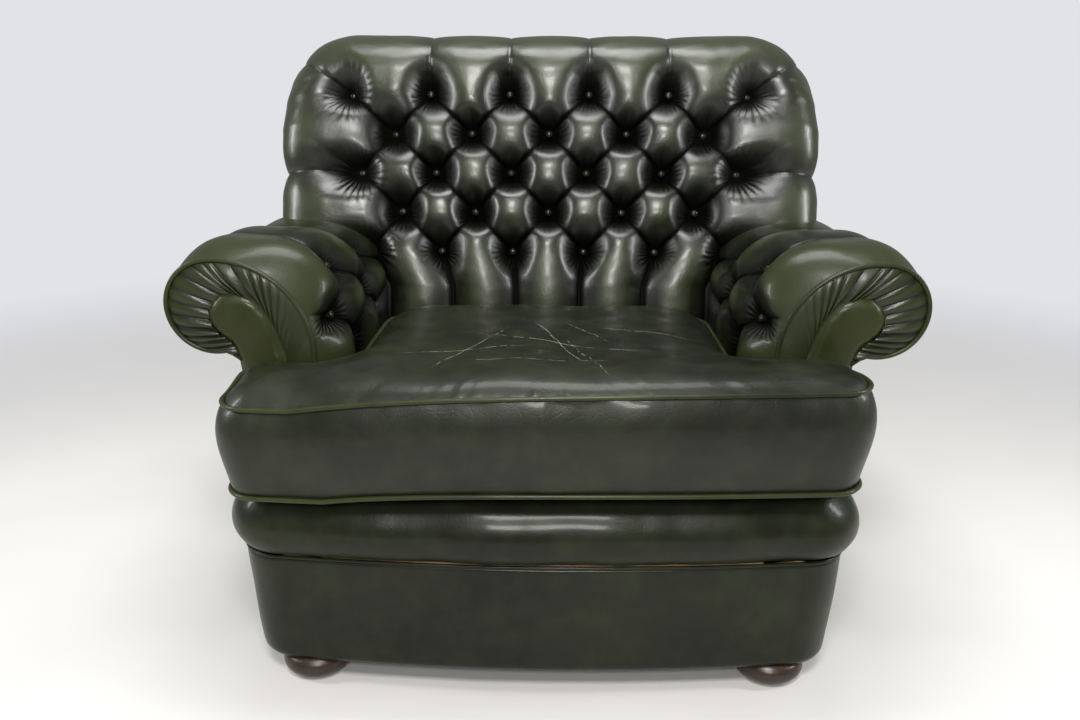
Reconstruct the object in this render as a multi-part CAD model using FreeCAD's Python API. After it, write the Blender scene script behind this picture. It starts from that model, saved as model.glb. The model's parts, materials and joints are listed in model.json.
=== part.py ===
"""Deep-buttoned scroll-arm armchair with a loose T-shaped seat cushion.

Millimetres. +Z is up, -Y faces the front and +X is to the right when looking at the front.
The origin lies on the floor under the centre of the chair's outer box.
"""

import FreeCAD
import Part
import math
import os

os.makedirs("parts", exist_ok=True)

Vector = FreeCAD.Vector

# Seat cushion, a T in plan: two ears stand in front of the arms
CUSHION_HALF = 441.0
CUSHION_FRONT = -433.0
CUSHION_BOW = 15.0
EAR_FRONT_R = 50.0
EAR_BACK = -268.0
EAR_BACK_R = 36.0
NECK_HALF = 277.0
NECK_R = 66.0
CUSHION_REAR = 58.0
CUSHION_REAR_R = 84.0
CUSHION_BASE = 320.0
PIPING_LOW = 333.0
PIPING_HIGH = 462.0
CUSHION_CROWN = 489.0
BOXING_BULGE = 6.0
LEATHER = 2.5
PIPING_R = 3.5

# Seat platform and the padded lip over the front rail
DECK = 319.5
LIP_LOW = 212.0
BORDER_LOW = 38.0
BORDER_HIGH = 205.0
BORDER_HALF_LOW = 434.0
BORDER_HALF_HIGH = 447.0
BORDER_FRONT = -411.0
BORDER_BOW = 22.0
BORDER_CORNER = 72.0
BORDER_THICK = 6.0

# Arms: section across X and Z, drawn for the right arm
ARM_FRONT = -246.0
ARM_INSIDE = 297.4
ARM_SHOULDER_X = 437.0
ARM_SHOULDER_Z = 500.0
ARM_SHOULDER_R = 140.0
SCROLL_X = 482.0
SCROLL_Z = 556.0
SCROLL_R = 84.0
SCROLL_END = 195.0
ARM_BASE = 330.0
ARM_PAD = 62.0
ARM_TUFT = 33.0
ARM_ROW_STEP = 76.0
ARM_ROW_C = 127.0
ARM_COLUMN_STEP = 94.0
ARM_COLUMN_0 = -203.0
ARM_SWELL = 65.0

# The roll of each arm sinks towards the back
ARM_FALL = 20.0
FALL_FRONT_Y = -100.0
FALL_FROM_Z = 473.0

# Front outline of each arm, where the piping runs
FACE_SCROLL_X = 493.0
FACE_SCROLL_Z = 547.0
FACE_SCROLL_R = 70.0
FACE_INNER_X = 489.0
FACE_INNER_Z = 475.0
FACE_INNER_R = 142.0
FACE_OUT = -257.0
FACING_X = 464.0
FACING_Z = 532.0
FACING_R = 38.5
RUCHE_PLEATS = 28
RUCHE_SWELL = 4.0

# Back: crown surface measured along a path up the middle
BACK_FRONT = 78.0
BACK_LEAN = math.radians(18.0)
BACK_BEND_R = 414.0
BACK_BEND_Z = 475.0
BACK_LOW = 330.0
BACK_FLAT_HALF = 415.0
BACK_FLAT_TOP = 432.0
BACK_CORNER_R = 45.0
BACK_ROLL_R = 100.0
BACK_ROLL_ARC = 108.0
BACK_WRAP = math.radians(150.0)
BACK_TUFT = 45.0
BACK_PAD = 75.0
BACK_ROW_5 = 100.0
BACK_ROW_STEP = 74.2
BACK_COLUMN_TOP = 75.0
BACK_COLUMN_TAPER = 2.1
BACK_FLUTE_TAPER = 9.0
BACK_COLUMN_LOW = 59.0
REAR_LOW = 349.5
REAR_SLOPE = 0.0964
REAR_LOW_Z = 40.0

# Outside panels: half widths at the bottom edge, at mid height and under the scroll
OUTSIDE_LOW = 434.0
OUTSIDE_MID = 446.0
OUTSIDE_MID_Z = 262.0
OUTSIDE_HIGH = 461.0
OUTSIDE_HIGH_Z = 473.0
OUTSIDE_THICK = 5.0
REAR_PANEL_THICK = 4.0
REAR_PANEL_RIM = 39.0

# Hardwood frame
RAIL_BASE = 43.6
SIDE_RAIL_X = 388.0
TIMBER = 26.0
SIDE_RAIL_TOP = 200.0
FRONT_RAIL_TOP = 211.0
POST_FRONT = 188.0
FRONT_RAIL_INNER = -354.0
CORNER_POST_BACK = -312.0
TACK_RAIL_Y = 158.0
ARM_RAIL_LOW = 536.0

# Feet
FOOT_X = 347.0
FOOT_FRONT_Y = -346.0
FOOT_REAR_Y = 285.0
FOOT_R = 52.0
FOOT_HEIGHT = 42.0
BOLT_R = 5.0

# Seat springs
SPRING_XS = (-220.0, -110.0, 0.0, 110.0, 220.0)
SPRING_RUNS = 13
SPRING_HALF = 24.0
SPRING_WIRE = 4.0
SPRING_ARCH = 46.0
SPRING_END_Z = 190.0

BOW_PIECES = 6
BUTTON_R = 6.5
BUTTON_SIDES = 8


def save(name, *shapes):
    """Write one node; several solids become one group."""
    shape = shapes[0] if len(shapes) == 1 else Part.makeCompound(list(shapes))
    shape.exportStep("parts/" + name + ".step")


def flipped(shape):
    """The left-hand twin of a right-hand shape."""
    return shape.mirror(Vector(0, 0, 0), Vector(1, 0, 0))


def save_pair(name, shape):
    save("right_" + name, shape)
    save("left_" + name, flipped(shape))


def plan(z):
    """Places (x, y) points at one height."""
    return lambda x, y: Vector(x, y, z)


def front_view(y):
    """Places (x, z) points at one depth."""
    return lambda x, z: Vector(x, y, z)


def side_view(x):
    """Places (y, z) points at one distance from the middle."""
    return lambda y, z: Vector(x, y, z)


def turn(x, y, r, start, end):
    """Step along a round corner: its middle and end points, angles in degrees."""
    middle = math.radians((start + end) / 2)
    last = math.radians(end)
    return ((x + r * math.cos(middle), y + r * math.sin(middle)),
            (x + r * math.cos(last), y + r * math.sin(last)))


def legs(start, steps):
    """Split a path into (from, through or None, to)."""
    found = []
    here = start
    for step in steps:
        there = step[-1] if isinstance(step[0], tuple) else step
        through = step[0] if isinstance(step[0], tuple) else None
        if math.dist(here, there) > 1e-6:
            found.append((here, through, there))
        here = there
    return found


def wire(place, pieces):
    """Edges of lines and arcs joined into one wire."""
    edges = []
    for here, through, there in pieces:
        if through is None:
            edges.append(Part.LineSegment(place(*here), place(*there)).toShape())
        else:
            edges.append(Part.Arc(place(*here), place(*through), place(*there)).toShape())
    return Part.Wire(edges)


def closed(place, start, *steps):
    """Closed outline: a step is a point, or a (through, to) pair for an arc."""
    return wire(place, legs(start, list(steps) + [start]))


def both_halves(start, *steps):
    """Pieces of a symmetric closed path, its right half given from the centre line."""
    right = legs(start, steps)
    left = []
    for here, through, there in reversed(right):
        middle = (-through[0], through[1]) if through else None
        left.append(((-there[0], there[1]), middle, (-here[0], here[1])))
    return right + left


def mirrored(place, start, *steps):
    return wire(place, both_halves(start, *steps))


def plate(outline, direction):
    """A flat outline given a thickness."""
    return Part.Face(outline).extrude(direction)


def box(x0, x1, y0, y1, z0, z1):
    return Part.makeBox(x1 - x0, y1 - y0, z1 - z0, Vector(x0, y0, z0))


def rod(x, y, z, height, radius):
    """Upright eight-sided rod."""
    corners = [(x + u, y + v) for u, v in round_section(radius, 8)]
    return plate(closed(plan(z), *corners), Vector(0, 0, height))


def stations(pieces, place, step):
    """Points along a path of lines and arcs; a shallow bow always gets the same few."""
    points = []
    for here, through, there in pieces:
        if through is None:
            points.append(place(*here))
            continue
        arc = Part.Arc(place(*here), place(*through), place(*there)).toShape()
        radius = arc.Curve.Radius
        count = BOW_PIECES if radius > 300.0 else math.ceil(arc.Length / radius / step - 0.01)
        points += arc.discretize(Number=count + 1)[:-1]
    return points + [place(*pieces[-1][2])]


def facet(*corners):
    """Flat face with the given corners."""
    return Part.Face(Part.makePolygon(list(corners) + [corners[0]]))


def sewn(faces):
    """Closed solid from flat faces that share their edges."""
    skin = Part.makeCompound(faces)
    skin.sewShape()
    return Part.Solid(skin.Shells[0])


def ring_stack(rings):
    """Solid through closed rings of points, one above the other, with flat ends."""
    faces = [facet(*rings[0]), facet(*rings[-1])]
    for low, high in zip(rings, rings[1:]):
        for k, here in enumerate(low):
            n = (k + 1) % len(low)
            faces += [facet(here, low[n], high[n]), facet(here, high[n], high[k])]
    return sewn(faces)


def stack(outlines, step):
    """Solid through closed outlines at rising heights."""
    return ring_stack([stations(pieces, plan(z), step)[:-1] for z, pieces in outlines])


def section_rings(points, section, up, is_loop):
    """Copies of a small section set square to a path at each of its points."""
    rings = []
    count = len(points)
    for k, here in enumerate(points):
        before = points[k - 1] if k or is_loop else None
        after = points[(k + 1) % count] if k < count - 1 or is_loop else None
        leave = (after - here).normalize() if after else (here - before).normalize()
        enter = (here - before).normalize() if before else leave
        mean = (enter + leave).normalize()
        side = mean.cross(up).normalize()
        reach = 1 / max(mean.dot(enter), 0.5)
        rings.append([here + side * (u * reach) + up * v for u, v in section])
    return rings


def cord(points, section, up, is_loop=False):
    """Solid cord of a small polygon section along a path."""
    rings = section_rings(points, section, up, is_loop)
    sides = len(section)
    spans = len(rings) if is_loop else len(rings) - 1
    triangles = []
    for k in range(spans):
        near = sides * k
        far = sides * ((k + 1) % len(rings))
        for c in range(sides):
            n = (c + 1) % sides
            triangles += [(near + c, near + n, far + n), (near + c, far + n, far + c)]
    if not is_loop:
        last = sides * (len(rings) - 1)
        for c in range(1, sides - 1):
            triangles += [(0, c + 1, c), (last, last + c, last + c + 1)]
    return faceted_solid([p for ring in rings for p in ring], triangles)


def round_section(radius, sides):
    return [(radius * math.cos(2 * math.pi * k / sides), radius * math.sin(2 * math.pi * k / sides))
            for k in range(sides)]


def faceted_solid(points, triangles):
    """Closed solid from points and triangles, turned right side out."""
    signed = sum(points[a].dot(points[b].cross(points[c])) for a, b, c in triangles)
    if signed < 0:
        triangles = [(a, c, b) for a, b, c in triangles]
    shell = Part.Shape()
    shell.makeShapeFromMesh((points, triangles), 0.001)
    return Part.Solid(Part.Shell(shell.Faces))


def layer_solid(outer, inner, falling):
    """Solid between two grids of points; falling says which way a cell is cut."""
    rows = len(outer)
    columns = len(outer[0])
    points = [p for row in outer for p in row] + [p for row in inner for p in row]
    below = rows * columns
    triangles = []
    for r in range(rows - 1):
        for c in range(columns - 1):
            a = r * columns + c
            b = a + 1
            d = a + columns
            e = d + 1
            pair = ((a, b, e), (a, e, d)) if falling(r, c) else ((a, b, d), (b, e, d))
            for one, two, three in pair:
                triangles.append((one, two, three))
                triangles.append((one + below, three + below, two + below))
    rim = [c for c in range(columns)]
    rim += [r * columns + columns - 1 for r in range(1, rows)]
    rim += [(rows - 1) * columns + c for c in range(columns - 2, -1, -1)]
    rim += [r * columns for r in range(rows - 2, 0, -1)]
    for here, there in zip(rim, rim[1:] + rim[:1]):
        triangles.append((there, here, here + below))
        triangles.append((there, here + below, there + below))
    return faceted_solid(points, triangles)


def fractions(start, end, step):
    """Evenly spaced stations, both ends included."""
    count = round((end - start) / step)
    return [start + (end - start) * k / count for k in range(count + 1)]


# Tufting: pleats are straight folds between lattice points, deepest at the buttons

def pleat_depth(i, j, pleats):
    """How far the leather is drawn in at a lattice place, from 0 to 1."""
    deepest = 0.0
    for (i0, j0), (i1, j1), start, middle, end in pleats:
        run_i = i1 - i0
        run_j = j1 - j0
        along = ((i - i0) * run_i + (j - j0) * run_j) / (run_i * run_i + run_j * run_j)
        along = min(max(along, 0.0), 1.0)
        away = math.hypot(i - i0 - along * run_i, j - j0 - along * run_j)
        if away >= 0.7:
            continue
        if along < 0.5:
            fold = middle + (start - middle) * (1 - 2 * along) ** 2
        else:
            fold = middle + (end - middle) * (2 * along - 1) ** 2
        deepest = max(deepest, fold * (1 - away / 0.7) ** 2)
    return deepest


def back_buttons_at():
    """Lattice places of the back's buttons, rows 1 at the top to 5."""
    return [(i, j) for j in range(1, 6) for i in range(-5, 6) if (i + j) % 2 == 0]


def back_pleats():
    """Diamonds between the buttons, then flutes out over each edge."""
    pleats = []
    for i, j in back_buttons_at():
        for side in (-1, 1):
            if abs(i + side) <= 5 and j < 5:
                pleats.append(((i, j), (i + side, j + 1), 1.0, 0.5, 1.0))
    for i in (-3, -1, 1, 3):
        pleats.append(((i, 1), (i, -1.2), 1.0, 0.15, 0.0))
    for i in (-5, -3, -1, 1, 3, 5):
        pleats.append(((i, 5), (i, 8), 1.0, 0.6, 0.5))
    for side in (-1, 1):
        pleats.append(((5 * side, 1), (7.2 * side, -1.2), 1.0, 0.2, 0.0))
        pleats.append(((5 * side, 3), (7.2 * side, 3), 1.0, 0.25, 0.1))
        pleats.append(((5 * side, 5), (7.2 * side, 5), 1.0, 0.25, 0.0))
    return pleats


def arm_buttons_at():
    """Lattice places of one arm's buttons: column from the front, row from the seat."""
    return [(i, j) for j in range(0, 3) for i in range(0, 6) if (i + j) % 2 == 1]


def arm_pleats():
    """Diamonds on the inside of the arm and flutes over the scroll."""
    pleats = []
    for i, j in arm_buttons_at():
        for side in (-1, 1):
            if 0 <= i + side <= 5 and j < 2:
                pleats.append(((i, j), (i + side, j + 1), 1.0, 0.5, 1.0))
    for i in (1, 3, 5):
        pleats.append(((i, 2), (i, 6.0), 1.0, 0.25, 0.05))
        pleats.append(((i, 0), (i, -1.6), 1.0, 0.5, 0.4))
    pleats.append(((0, 1), (-0.45, 1.45), 1.0, 0.4, 0.1))
    return pleats


# Back surface

def back_lean_point(up, deep):
    """Point on the middle plane: up along the crown path, deep into the back."""
    half_arc = BACK_BEND_R * BACK_LEAN / 2
    tilt = min(max((up + half_arc) / BACK_BEND_R, 0.0), BACK_LEAN)
    extra = max(up - half_arc, 0.0)
    below = min(up + half_arc, 0.0)
    radius = BACK_BEND_R - deep
    y = BACK_FRONT + BACK_BEND_R - radius * math.cos(tilt) + extra * math.sin(BACK_LEAN)
    z = BACK_BEND_Z - BACK_BEND_R * math.tan(BACK_LEAN / 2)
    z += radius * math.sin(tilt) + extra * math.cos(BACK_LEAN) + below
    return y, z


def rear_y(z):
    """Depth of the outside back's plane at a height."""
    return REAR_LOW + REAR_SLOPE * (z - REAR_LOW_Z)


def back_half_thickness(up):
    """Half the back's thickness, so that its rolled rim ends on the outside back's plane."""
    y, z = back_lean_point(up, 0.0)
    fall = math.cos(BACK_LEAN) + REAR_SLOPE * math.sin(BACK_LEAN)
    return (rear_y(z) - y) / fall / (1 - math.cos(BACK_WRAP))


def rear_deep():
    """How deep behind the crown the rolled top rim ends."""
    return back_half_thickness(BACK_FLAT_TOP) * (1 - math.cos(BACK_WRAP))


def back_point(across, up, depth):
    """Point of the back at a depth below its crown, wrapped round the sides and the top."""
    over_side = max(abs(across) - BACK_FLAT_HALF + BACK_CORNER_R, 0.0)
    over_top = max(up - BACK_FLAT_TOP + BACK_CORNER_R, 0.0)
    reach = max(over_side, over_top)
    lean = math.pi / 4 * min(over_side, over_top) / max(reach, 1e-9)
    heading = lean if over_side >= over_top else math.pi / 2 - lean
    flat = min(reach, BACK_CORNER_R)
    wrap = max(reach - BACK_CORNER_R, 0.0) / BACK_ROLL_ARC
    out = (BACK_ROLL_R - depth) * math.sin(wrap)
    level = min(up, BACK_FLAT_TOP - BACK_CORNER_R) + flat * math.sin(heading)
    half = back_half_thickness(level)
    x = min(abs(across), BACK_FLAT_HALF - BACK_CORNER_R) + (flat + out) * math.cos(heading)
    y, z = back_lean_point(level + out * math.sin(heading), half - (half - depth) * math.cos(wrap))
    return Vector(math.copysign(x, across), y, z)


def back_column(j):
    """Half the button spacing across, which narrows down the back."""
    if j <= 5:
        return BACK_COLUMN_TOP - BACK_COLUMN_TAPER * (max(j, 1) - 1)
    low = BACK_COLUMN_TOP - 4 * BACK_COLUMN_TAPER
    return max(low - BACK_FLUTE_TAPER * (j - 5), BACK_COLUMN_LOW)


def back_place(i, j):
    """Distances across and up of a lattice place, edges spread over the rolled rims."""
    step = back_column(j)
    rim = BACK_FLAT_HALF + BACK_ROLL_ARC * BACK_WRAP
    across = min(abs(i), 5) * step
    if abs(i) > 5:
        across += (abs(i) - 5) * (rim - 5 * step) / 3
    top_row = BACK_ROW_5 + 4 * BACK_ROW_STEP
    if j >= 1:
        up = BACK_ROW_5 + (5 - j) * BACK_ROW_STEP
    else:
        up = top_row + (1 - j) * (BACK_FLAT_TOP + BACK_ROLL_ARC * BACK_WRAP - top_row) / 3
    low = BACK_LOW - BACK_BEND_Z
    if j > 5:
        up = BACK_ROW_5 + (j - 5) * (low - BACK_ROW_5) / 3
    return math.copysign(across, i), up


def lattice_grid(columns, rows, point):
    return [[point(i, j) for i in columns] for j in rows]


def diagonal_rule(columns, rows, parity):
    """Cuts every cell along the pleat that can cross it."""
    def falling(r, c):
        i = math.floor((columns[c] + columns[c + 1]) / 2)
        j = math.floor((rows[r] + rows[r + 1]) / 2)
        return (i + j) % 2 == parity
    return falling


def sunk(z, share):
    """Height that a place on an arm's roll keeps once the roll has sunk by a share."""
    rise = ARM_SHOULDER_Z + ARM_SHOULDER_R - FALL_FROM_Z
    return z - ARM_FALL * share * max(z - FALL_FROM_Z, 0.0) / rise


def sunk_view(y):
    """Places (x, z) points of the arm's section at one depth, the roll fully sunk."""
    return lambda x, z: Vector(x, y, sunk(z, 1.0))


def arm_tool():
    """Space that one arm and all below it takes out of the back."""
    gap = 1.6
    base = 200.0
    far = SCROLL_X + SCROLL_R + 134.0
    start = (ARM_INSIDE - gap, base)
    outline = legs(start, [
        (ARM_INSIDE - gap, ARM_SHOULDER_Z),
        turn(ARM_SHOULDER_X, ARM_SHOULDER_Z, ARM_SHOULDER_R + gap, 180, 90),
        (SCROLL_X, ARM_SHOULDER_Z + ARM_SHOULDER_R + gap),
        turn(SCROLL_X, SCROLL_Z, SCROLL_R + gap, 90, 40),
        (far, SCROLL_Z),
        (far, base),
        start])
    return plate(Part.makePolygon(stations(outline, sunk_view(ARM_FRONT), 0.1)), Vector(0, 900, 0))


def make_back():
    columns = fractions(-8, 8, 0.5)
    rows = fractions(-2, 5, 0.5) + [6.0, 7.0, 8.0]
    pleats = back_pleats()

    def skin(extra):
        def point(i, j):
            across, up = back_place(i, j)
            return back_point(across, up, BACK_TUFT * pleat_depth(i, j, pleats) + extra)
        return lattice_grid(columns, rows, point)

    def lining(i, j):
        across, up = back_place(i, j)
        return back_point(across, up, BACK_PAD)

    falling = diagonal_rule(columns, rows, 0)
    inside = lattice_grid(columns, rows, lining)
    tool = arm_tool()
    cover = layer_solid(skin(0.0), skin(LEATHER), falling)
    pad = layer_solid(skin(LEATHER), inside, falling)
    for name, solid in (("back_cover", cover), ("back_pad", pad)):
        trimmed = solid.cut(tool).cut(flipped(tool))
        save(name, max(trimmed.Solids, key=lambda s: s.Volume))
    save("back_buttons", *[back_button(i, j) for i, j in back_buttons_at()
                           if abs(i) < 5 or j < 5])


def button(foot, outward):
    """Covered button: a blunt cone pulled into its dimple, domed in front."""
    side = outward.cross(Vector(0, 0, 1)).normalize()
    other = outward.cross(side)

    def ring(height, radius):
        return [foot + outward * height
                + side * (radius * math.cos(2 * math.pi * k / BUTTON_SIDES))
                + other * (radius * math.sin(2 * math.pi * k / BUTTON_SIDES))
                for k in range(BUTTON_SIDES)]

    points = [foot + outward * 0.3, foot + outward * 12.5]
    points += ring(8.5, BUTTON_R) + ring(11.0, BUTTON_R * 0.75)
    triangles = []
    for k in range(BUTTON_SIDES):
        low = 2 + k
        low_next = 2 + (k + 1) % BUTTON_SIDES
        high = low + BUTTON_SIDES
        high_next = low_next + BUTTON_SIDES
        triangles += [(0, low_next, low), (low, low_next, high_next),
                      (low, high_next, high), (1, high, high_next)]
    return faceted_solid(points, triangles)


def back_button(i, j):
    across, up = back_place(i, j)
    foot = back_point(across, up, BACK_TUFT)
    crown = back_point(across, up, 0.0)
    return button(foot, (crown - foot).normalize())


# Arms

def rolled(travel, depth, inside, base, bend_x, bend_z, bend_r, flat, hub_x, hub_z, hub_r):
    """Point on an arm's section: up the inside, round the shoulder, then round the scroll."""
    wall = bend_z - base
    bend = bend_r * math.pi / 2
    if travel <= wall:
        return inside + depth, base + travel
    if travel <= wall + bend:
        angle = math.pi - (travel - wall) / bend_r
        return (bend_x + (bend_r - depth) * math.cos(angle),
                bend_z + (bend_r - depth) * math.sin(angle))
    if travel <= wall + bend + flat:
        return bend_x + travel - wall - bend, bend_z + bend_r - depth
    angle = math.pi / 2 - (travel - wall - bend - flat) / hub_r
    return (hub_x + (hub_r - depth) * math.cos(angle),
            hub_z + (hub_r - depth) * math.sin(angle))


def arm_length():
    scroll = SCROLL_R * math.radians(SCROLL_END)
    flat = SCROLL_X - ARM_SHOULDER_X
    return ARM_SHOULDER_Z - ARM_BASE + ARM_SHOULDER_R * math.pi / 2 + flat + scroll


def arm_section(travel, depth):
    """Swollen section behind the front seam."""
    return rolled(travel, depth, ARM_INSIDE, ARM_BASE, ARM_SHOULDER_X, ARM_SHOULDER_Z,
                  ARM_SHOULDER_R, SCROLL_X - ARM_SHOULDER_X, SCROLL_X, SCROLL_Z, SCROLL_R)


def face_section(travel, depth):
    """Tight section at the front seam, travelled at the same rate as the swollen one."""
    swell_wall = ARM_SHOULDER_Z - ARM_BASE
    swell_bend = swell_wall + ARM_SHOULDER_R * math.pi / 2 + SCROLL_X - ARM_SHOULDER_X
    wall = FACE_INNER_Z - ARM_BASE
    bend = FACE_INNER_R * math.pi / 2
    if travel <= swell_wall:
        mine = travel * wall / swell_wall
    elif travel <= swell_bend:
        mine = wall + (travel - swell_wall) / (swell_bend - swell_wall) * bend
    else:
        mine = wall + bend + (FACE_SCROLL_X - FACE_INNER_X)
        mine += (travel - swell_bend) * FACE_SCROLL_R / SCROLL_R
    return rolled(mine, depth, FACE_INNER_X - FACE_INNER_R, ARM_BASE, FACE_INNER_X,
                  FACE_INNER_Z, FACE_INNER_R, FACE_SCROLL_X - FACE_INNER_X,
                  FACE_SCROLL_X, FACE_SCROLL_Z, FACE_SCROLL_R)


def arm_point(i, j, depth, swell):
    """Point of the right arm: column i towards the back, row j over the roll."""
    top_row = ARM_ROW_C + 2 * ARM_ROW_STEP
    travel = ARM_ROW_C + j * ARM_ROW_STEP
    if j > 2:
        travel = top_row + (j - 2) * (arm_length() - top_row) / 5
    travel = max(travel, 0.0)
    y = ARM_COLUMN_0 + i * ARM_COLUMN_STEP
    x, z = arm_section(travel, depth)
    if swell:
        behind = min(max((y - ARM_FRONT) / ARM_SWELL, 0.0), 1.0)
        full = 1 - (1 - behind) ** 2
        face_x, face_z = face_section(travel, depth)
        x = face_x + (x - face_x) * full
        z = face_z + (z - face_z) * full
    fallen = min(max((y - FALL_FRONT_Y) / (BACK_FRONT - FALL_FRONT_Y), 0.0), 1.0)
    z = sunk(z, fallen * fallen * (3 - 2 * fallen))
    return Vector(x, min(y, rear_y(z) - 5.0), z)


def arm_trim():
    """Space inside the back that the arm's padding leaves to the frame."""
    return box(200.0, SIDE_RAIL_X + TIMBER + 1, TACK_RAIL_Y - 1, 500.0, 300.0, 700.0)


def make_arms():
    first = (ARM_FRONT - ARM_COLUMN_0) / ARM_COLUMN_STEP
    low = -ARM_ROW_C / ARM_ROW_STEP
    columns = [first, first / 2] + fractions(0, 5, 0.5) + [7.0]
    rows = [low] + fractions(-1, 7, 0.5)
    pleats = arm_pleats()

    def skin(extra):
        def point(i, j):
            ahead = min(max((i - first) * ARM_COLUMN_STEP / ARM_SWELL, 0.0), 1.0)
            tuft = ARM_TUFT * pleat_depth(i, j, pleats) * (1 - (1 - ahead) ** 4)
            return arm_point(i, j, tuft + extra, True)
        return lattice_grid(columns, rows, point)

    inside = lattice_grid(columns, rows, lambda i, j: arm_point(i, j, ARM_PAD, False))
    falling = diagonal_rule(columns, rows, 1)
    cover = layer_solid(skin(0.0), skin(LEATHER), falling)
    pad = layer_solid(skin(LEATHER), inside, falling)
    for name, solid in (("arm_cover", cover), ("arm_pad", pad)):
        trimmed = solid.cut(arm_trim())
        save_pair(name, max(trimmed.Solids, key=lambda s: s.Volume))
    buttons = []
    for i, j in arm_buttons_at():
        if i < 4:
            foot = arm_point(i, j, ARM_TUFT, True)
            crown = arm_point(i, j, 0.0, True)
            buttons.append(button(foot, (crown - foot).normalize()))
    save_pair("arm_buttons", Part.makeCompound(buttons))


def piping_path(shrink, start):
    """Front outline of the right arm, drawn in by shrink, from the neck to the seat."""
    r = FACE_SCROLL_R - shrink
    big = FACE_INNER_R - shrink
    neck = turn(FACE_SCROLL_X, FACE_SCROLL_Z, r, start, start)[-1]
    return legs(neck, [
        turn(FACE_SCROLL_X, FACE_SCROLL_Z, r, start, 0),
        turn(FACE_SCROLL_X, FACE_SCROLL_Z, r, 0, 90),
        (FACE_INNER_X, FACE_INNER_Z + big),
        turn(FACE_INNER_X, FACE_INNER_Z, big, 90, 180),
        (FACE_INNER_X - big, ARM_BASE)])


def facing_path(grow):
    """Edge of the flat facing from the outer neck over its round head to the seat."""
    r = FACING_R + grow
    neck = math.radians(-72.0)
    join = (FACING_X + r * math.cos(neck), FACING_Z + r * math.sin(neck))
    return legs((460.0 + grow, 462.0), [
        ((464.5 + grow, 483.0 - grow / 2), join),
        turn(FACING_X, FACING_Z, r, -72, 14),
        turn(FACING_X, FACING_Z, r, 14, 100),
        ((417.0 - grow, 548.0 + grow / 2), (399.0 - grow, 510.0)),
        (386.0 - grow, 466.0),
        (373.0 - grow, ARM_BASE)])


def make_ruche(place):
    """Gathered band between the facing and the piping, its pleats running outwards."""
    count = 2 * RUCHE_PLEATS
    inner = wire(place, facing_path(1.0)).discretize(Number=count + 1)
    outer = wire(place, piping_path(PIPING_R + 2.0, -100)).discretize(Number=count + 1)
    bands = []
    for k in range(count + 1):
        swell = RUCHE_SWELL if k % 2 else 0.0
        edge = Vector(0, -3.0 - swell / 2, 0)
        crest = (inner[k] + outer[k]) * 0.5 + Vector(0, -6.0 - swell, 0)
        bands.append([inner[k], inner[k] + edge, crest, outer[k] + edge, outer[k]])
    faces = [facet(*bands[0]), facet(*bands[-1]), facet(*(inner + outer[::-1]))]
    for here, there in zip(bands, bands[1:]):
        for c in range(4):
            faces.append(facet(here[c], here[c + 1], there[c + 1]))
            faces.append(facet(here[c], there[c + 1], there[c]))
    return sewn(faces)


def make_arm_fronts():
    place = front_view(ARM_FRONT)
    path = facing_path(0.0)
    foot = (448.0, ARM_BASE)
    outline = wire(place, path + [(path[-1][2], None, foot), (foot, None, path[0][0])])
    save_pair("arm_facing", plate(outline, Vector(0, FACE_OUT - ARM_FRONT, 0)))

    save_pair("arm_ruche", make_ruche(place))
    path = stations(piping_path(0.0, -96), front_view(ARM_FRONT - PIPING_R - 1.0), 0.2)
    save_pair("arm_piping", cord(path, round_section(PIPING_R, 6), Vector(0, 1, 0)))


def rear_half():
    """Everything behind the outside back's plane, less a thin margin."""
    margin = 5.0
    outline = closed(side_view(-700.0), (rear_y(-100.0) - margin, -100.0),
                     (rear_y(1100.0) - margin, 1100.0), (900.0, 1100.0), (900.0, -100.0))
    return plate(outline, Vector(1400, 0, 0))


def make_outside_arm():
    """Leather over board from the scroll down to the bottom edge."""
    t = OUTSIDE_THICK
    outline = closed(front_view(ARM_FRONT + 0.5), (OUTSIDE_LOW, BORDER_LOW),
                     ((OUTSIDE_MID, OUTSIDE_MID_Z), (OUTSIDE_HIGH, OUTSIDE_HIGH_Z)),
                     (OUTSIDE_HIGH - t, OUTSIDE_HIGH_Z),
                     ((OUTSIDE_MID - t, OUTSIDE_MID_Z), (OUTSIDE_LOW - t, BORDER_LOW)))
    save_pair("outside_arm", plate(outline, Vector(0, 800, 0)).cut(rear_half()))


# Seat

def cushion_plan(grow):
    """T-shaped plan of the cushion, its edges moved out by grow."""
    side = CUSHION_HALF + grow
    front = CUSHION_FRONT - grow
    ear_back = EAR_BACK + grow
    neck = NECK_HALF + grow
    rear = CUSHION_REAR + grow
    front_r = max(EAR_FRONT_R + grow, 8.0)
    ear_r = max(EAR_BACK_R + grow, 8.0)
    rear_r = max(CUSHION_REAR_R + grow, 8.0)
    neck_r = NECK_R - grow
    corner = side - front_r
    bowed = front + CUSHION_BOW
    return both_halves(
        (0.0, front),
        ((corner / 2, front + CUSHION_BOW / 4), (corner, bowed)),
        turn(corner, bowed + front_r, front_r, -90, 0),
        (side, ear_back - ear_r),
        turn(side - ear_r, ear_back - ear_r, ear_r, 0, 90),
        (neck + neck_r, ear_back),
        turn(neck + neck_r, ear_back + neck_r, neck_r, 270, 180),
        (neck, rear - rear_r),
        turn(neck - rear_r, rear - rear_r, rear_r, 0, 90),
        (0.0, rear))


def cushion_form(shrink, levels):
    return stack([(z, cushion_plan(grow - shrink)) for z, grow in levels], 0.4)


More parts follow.
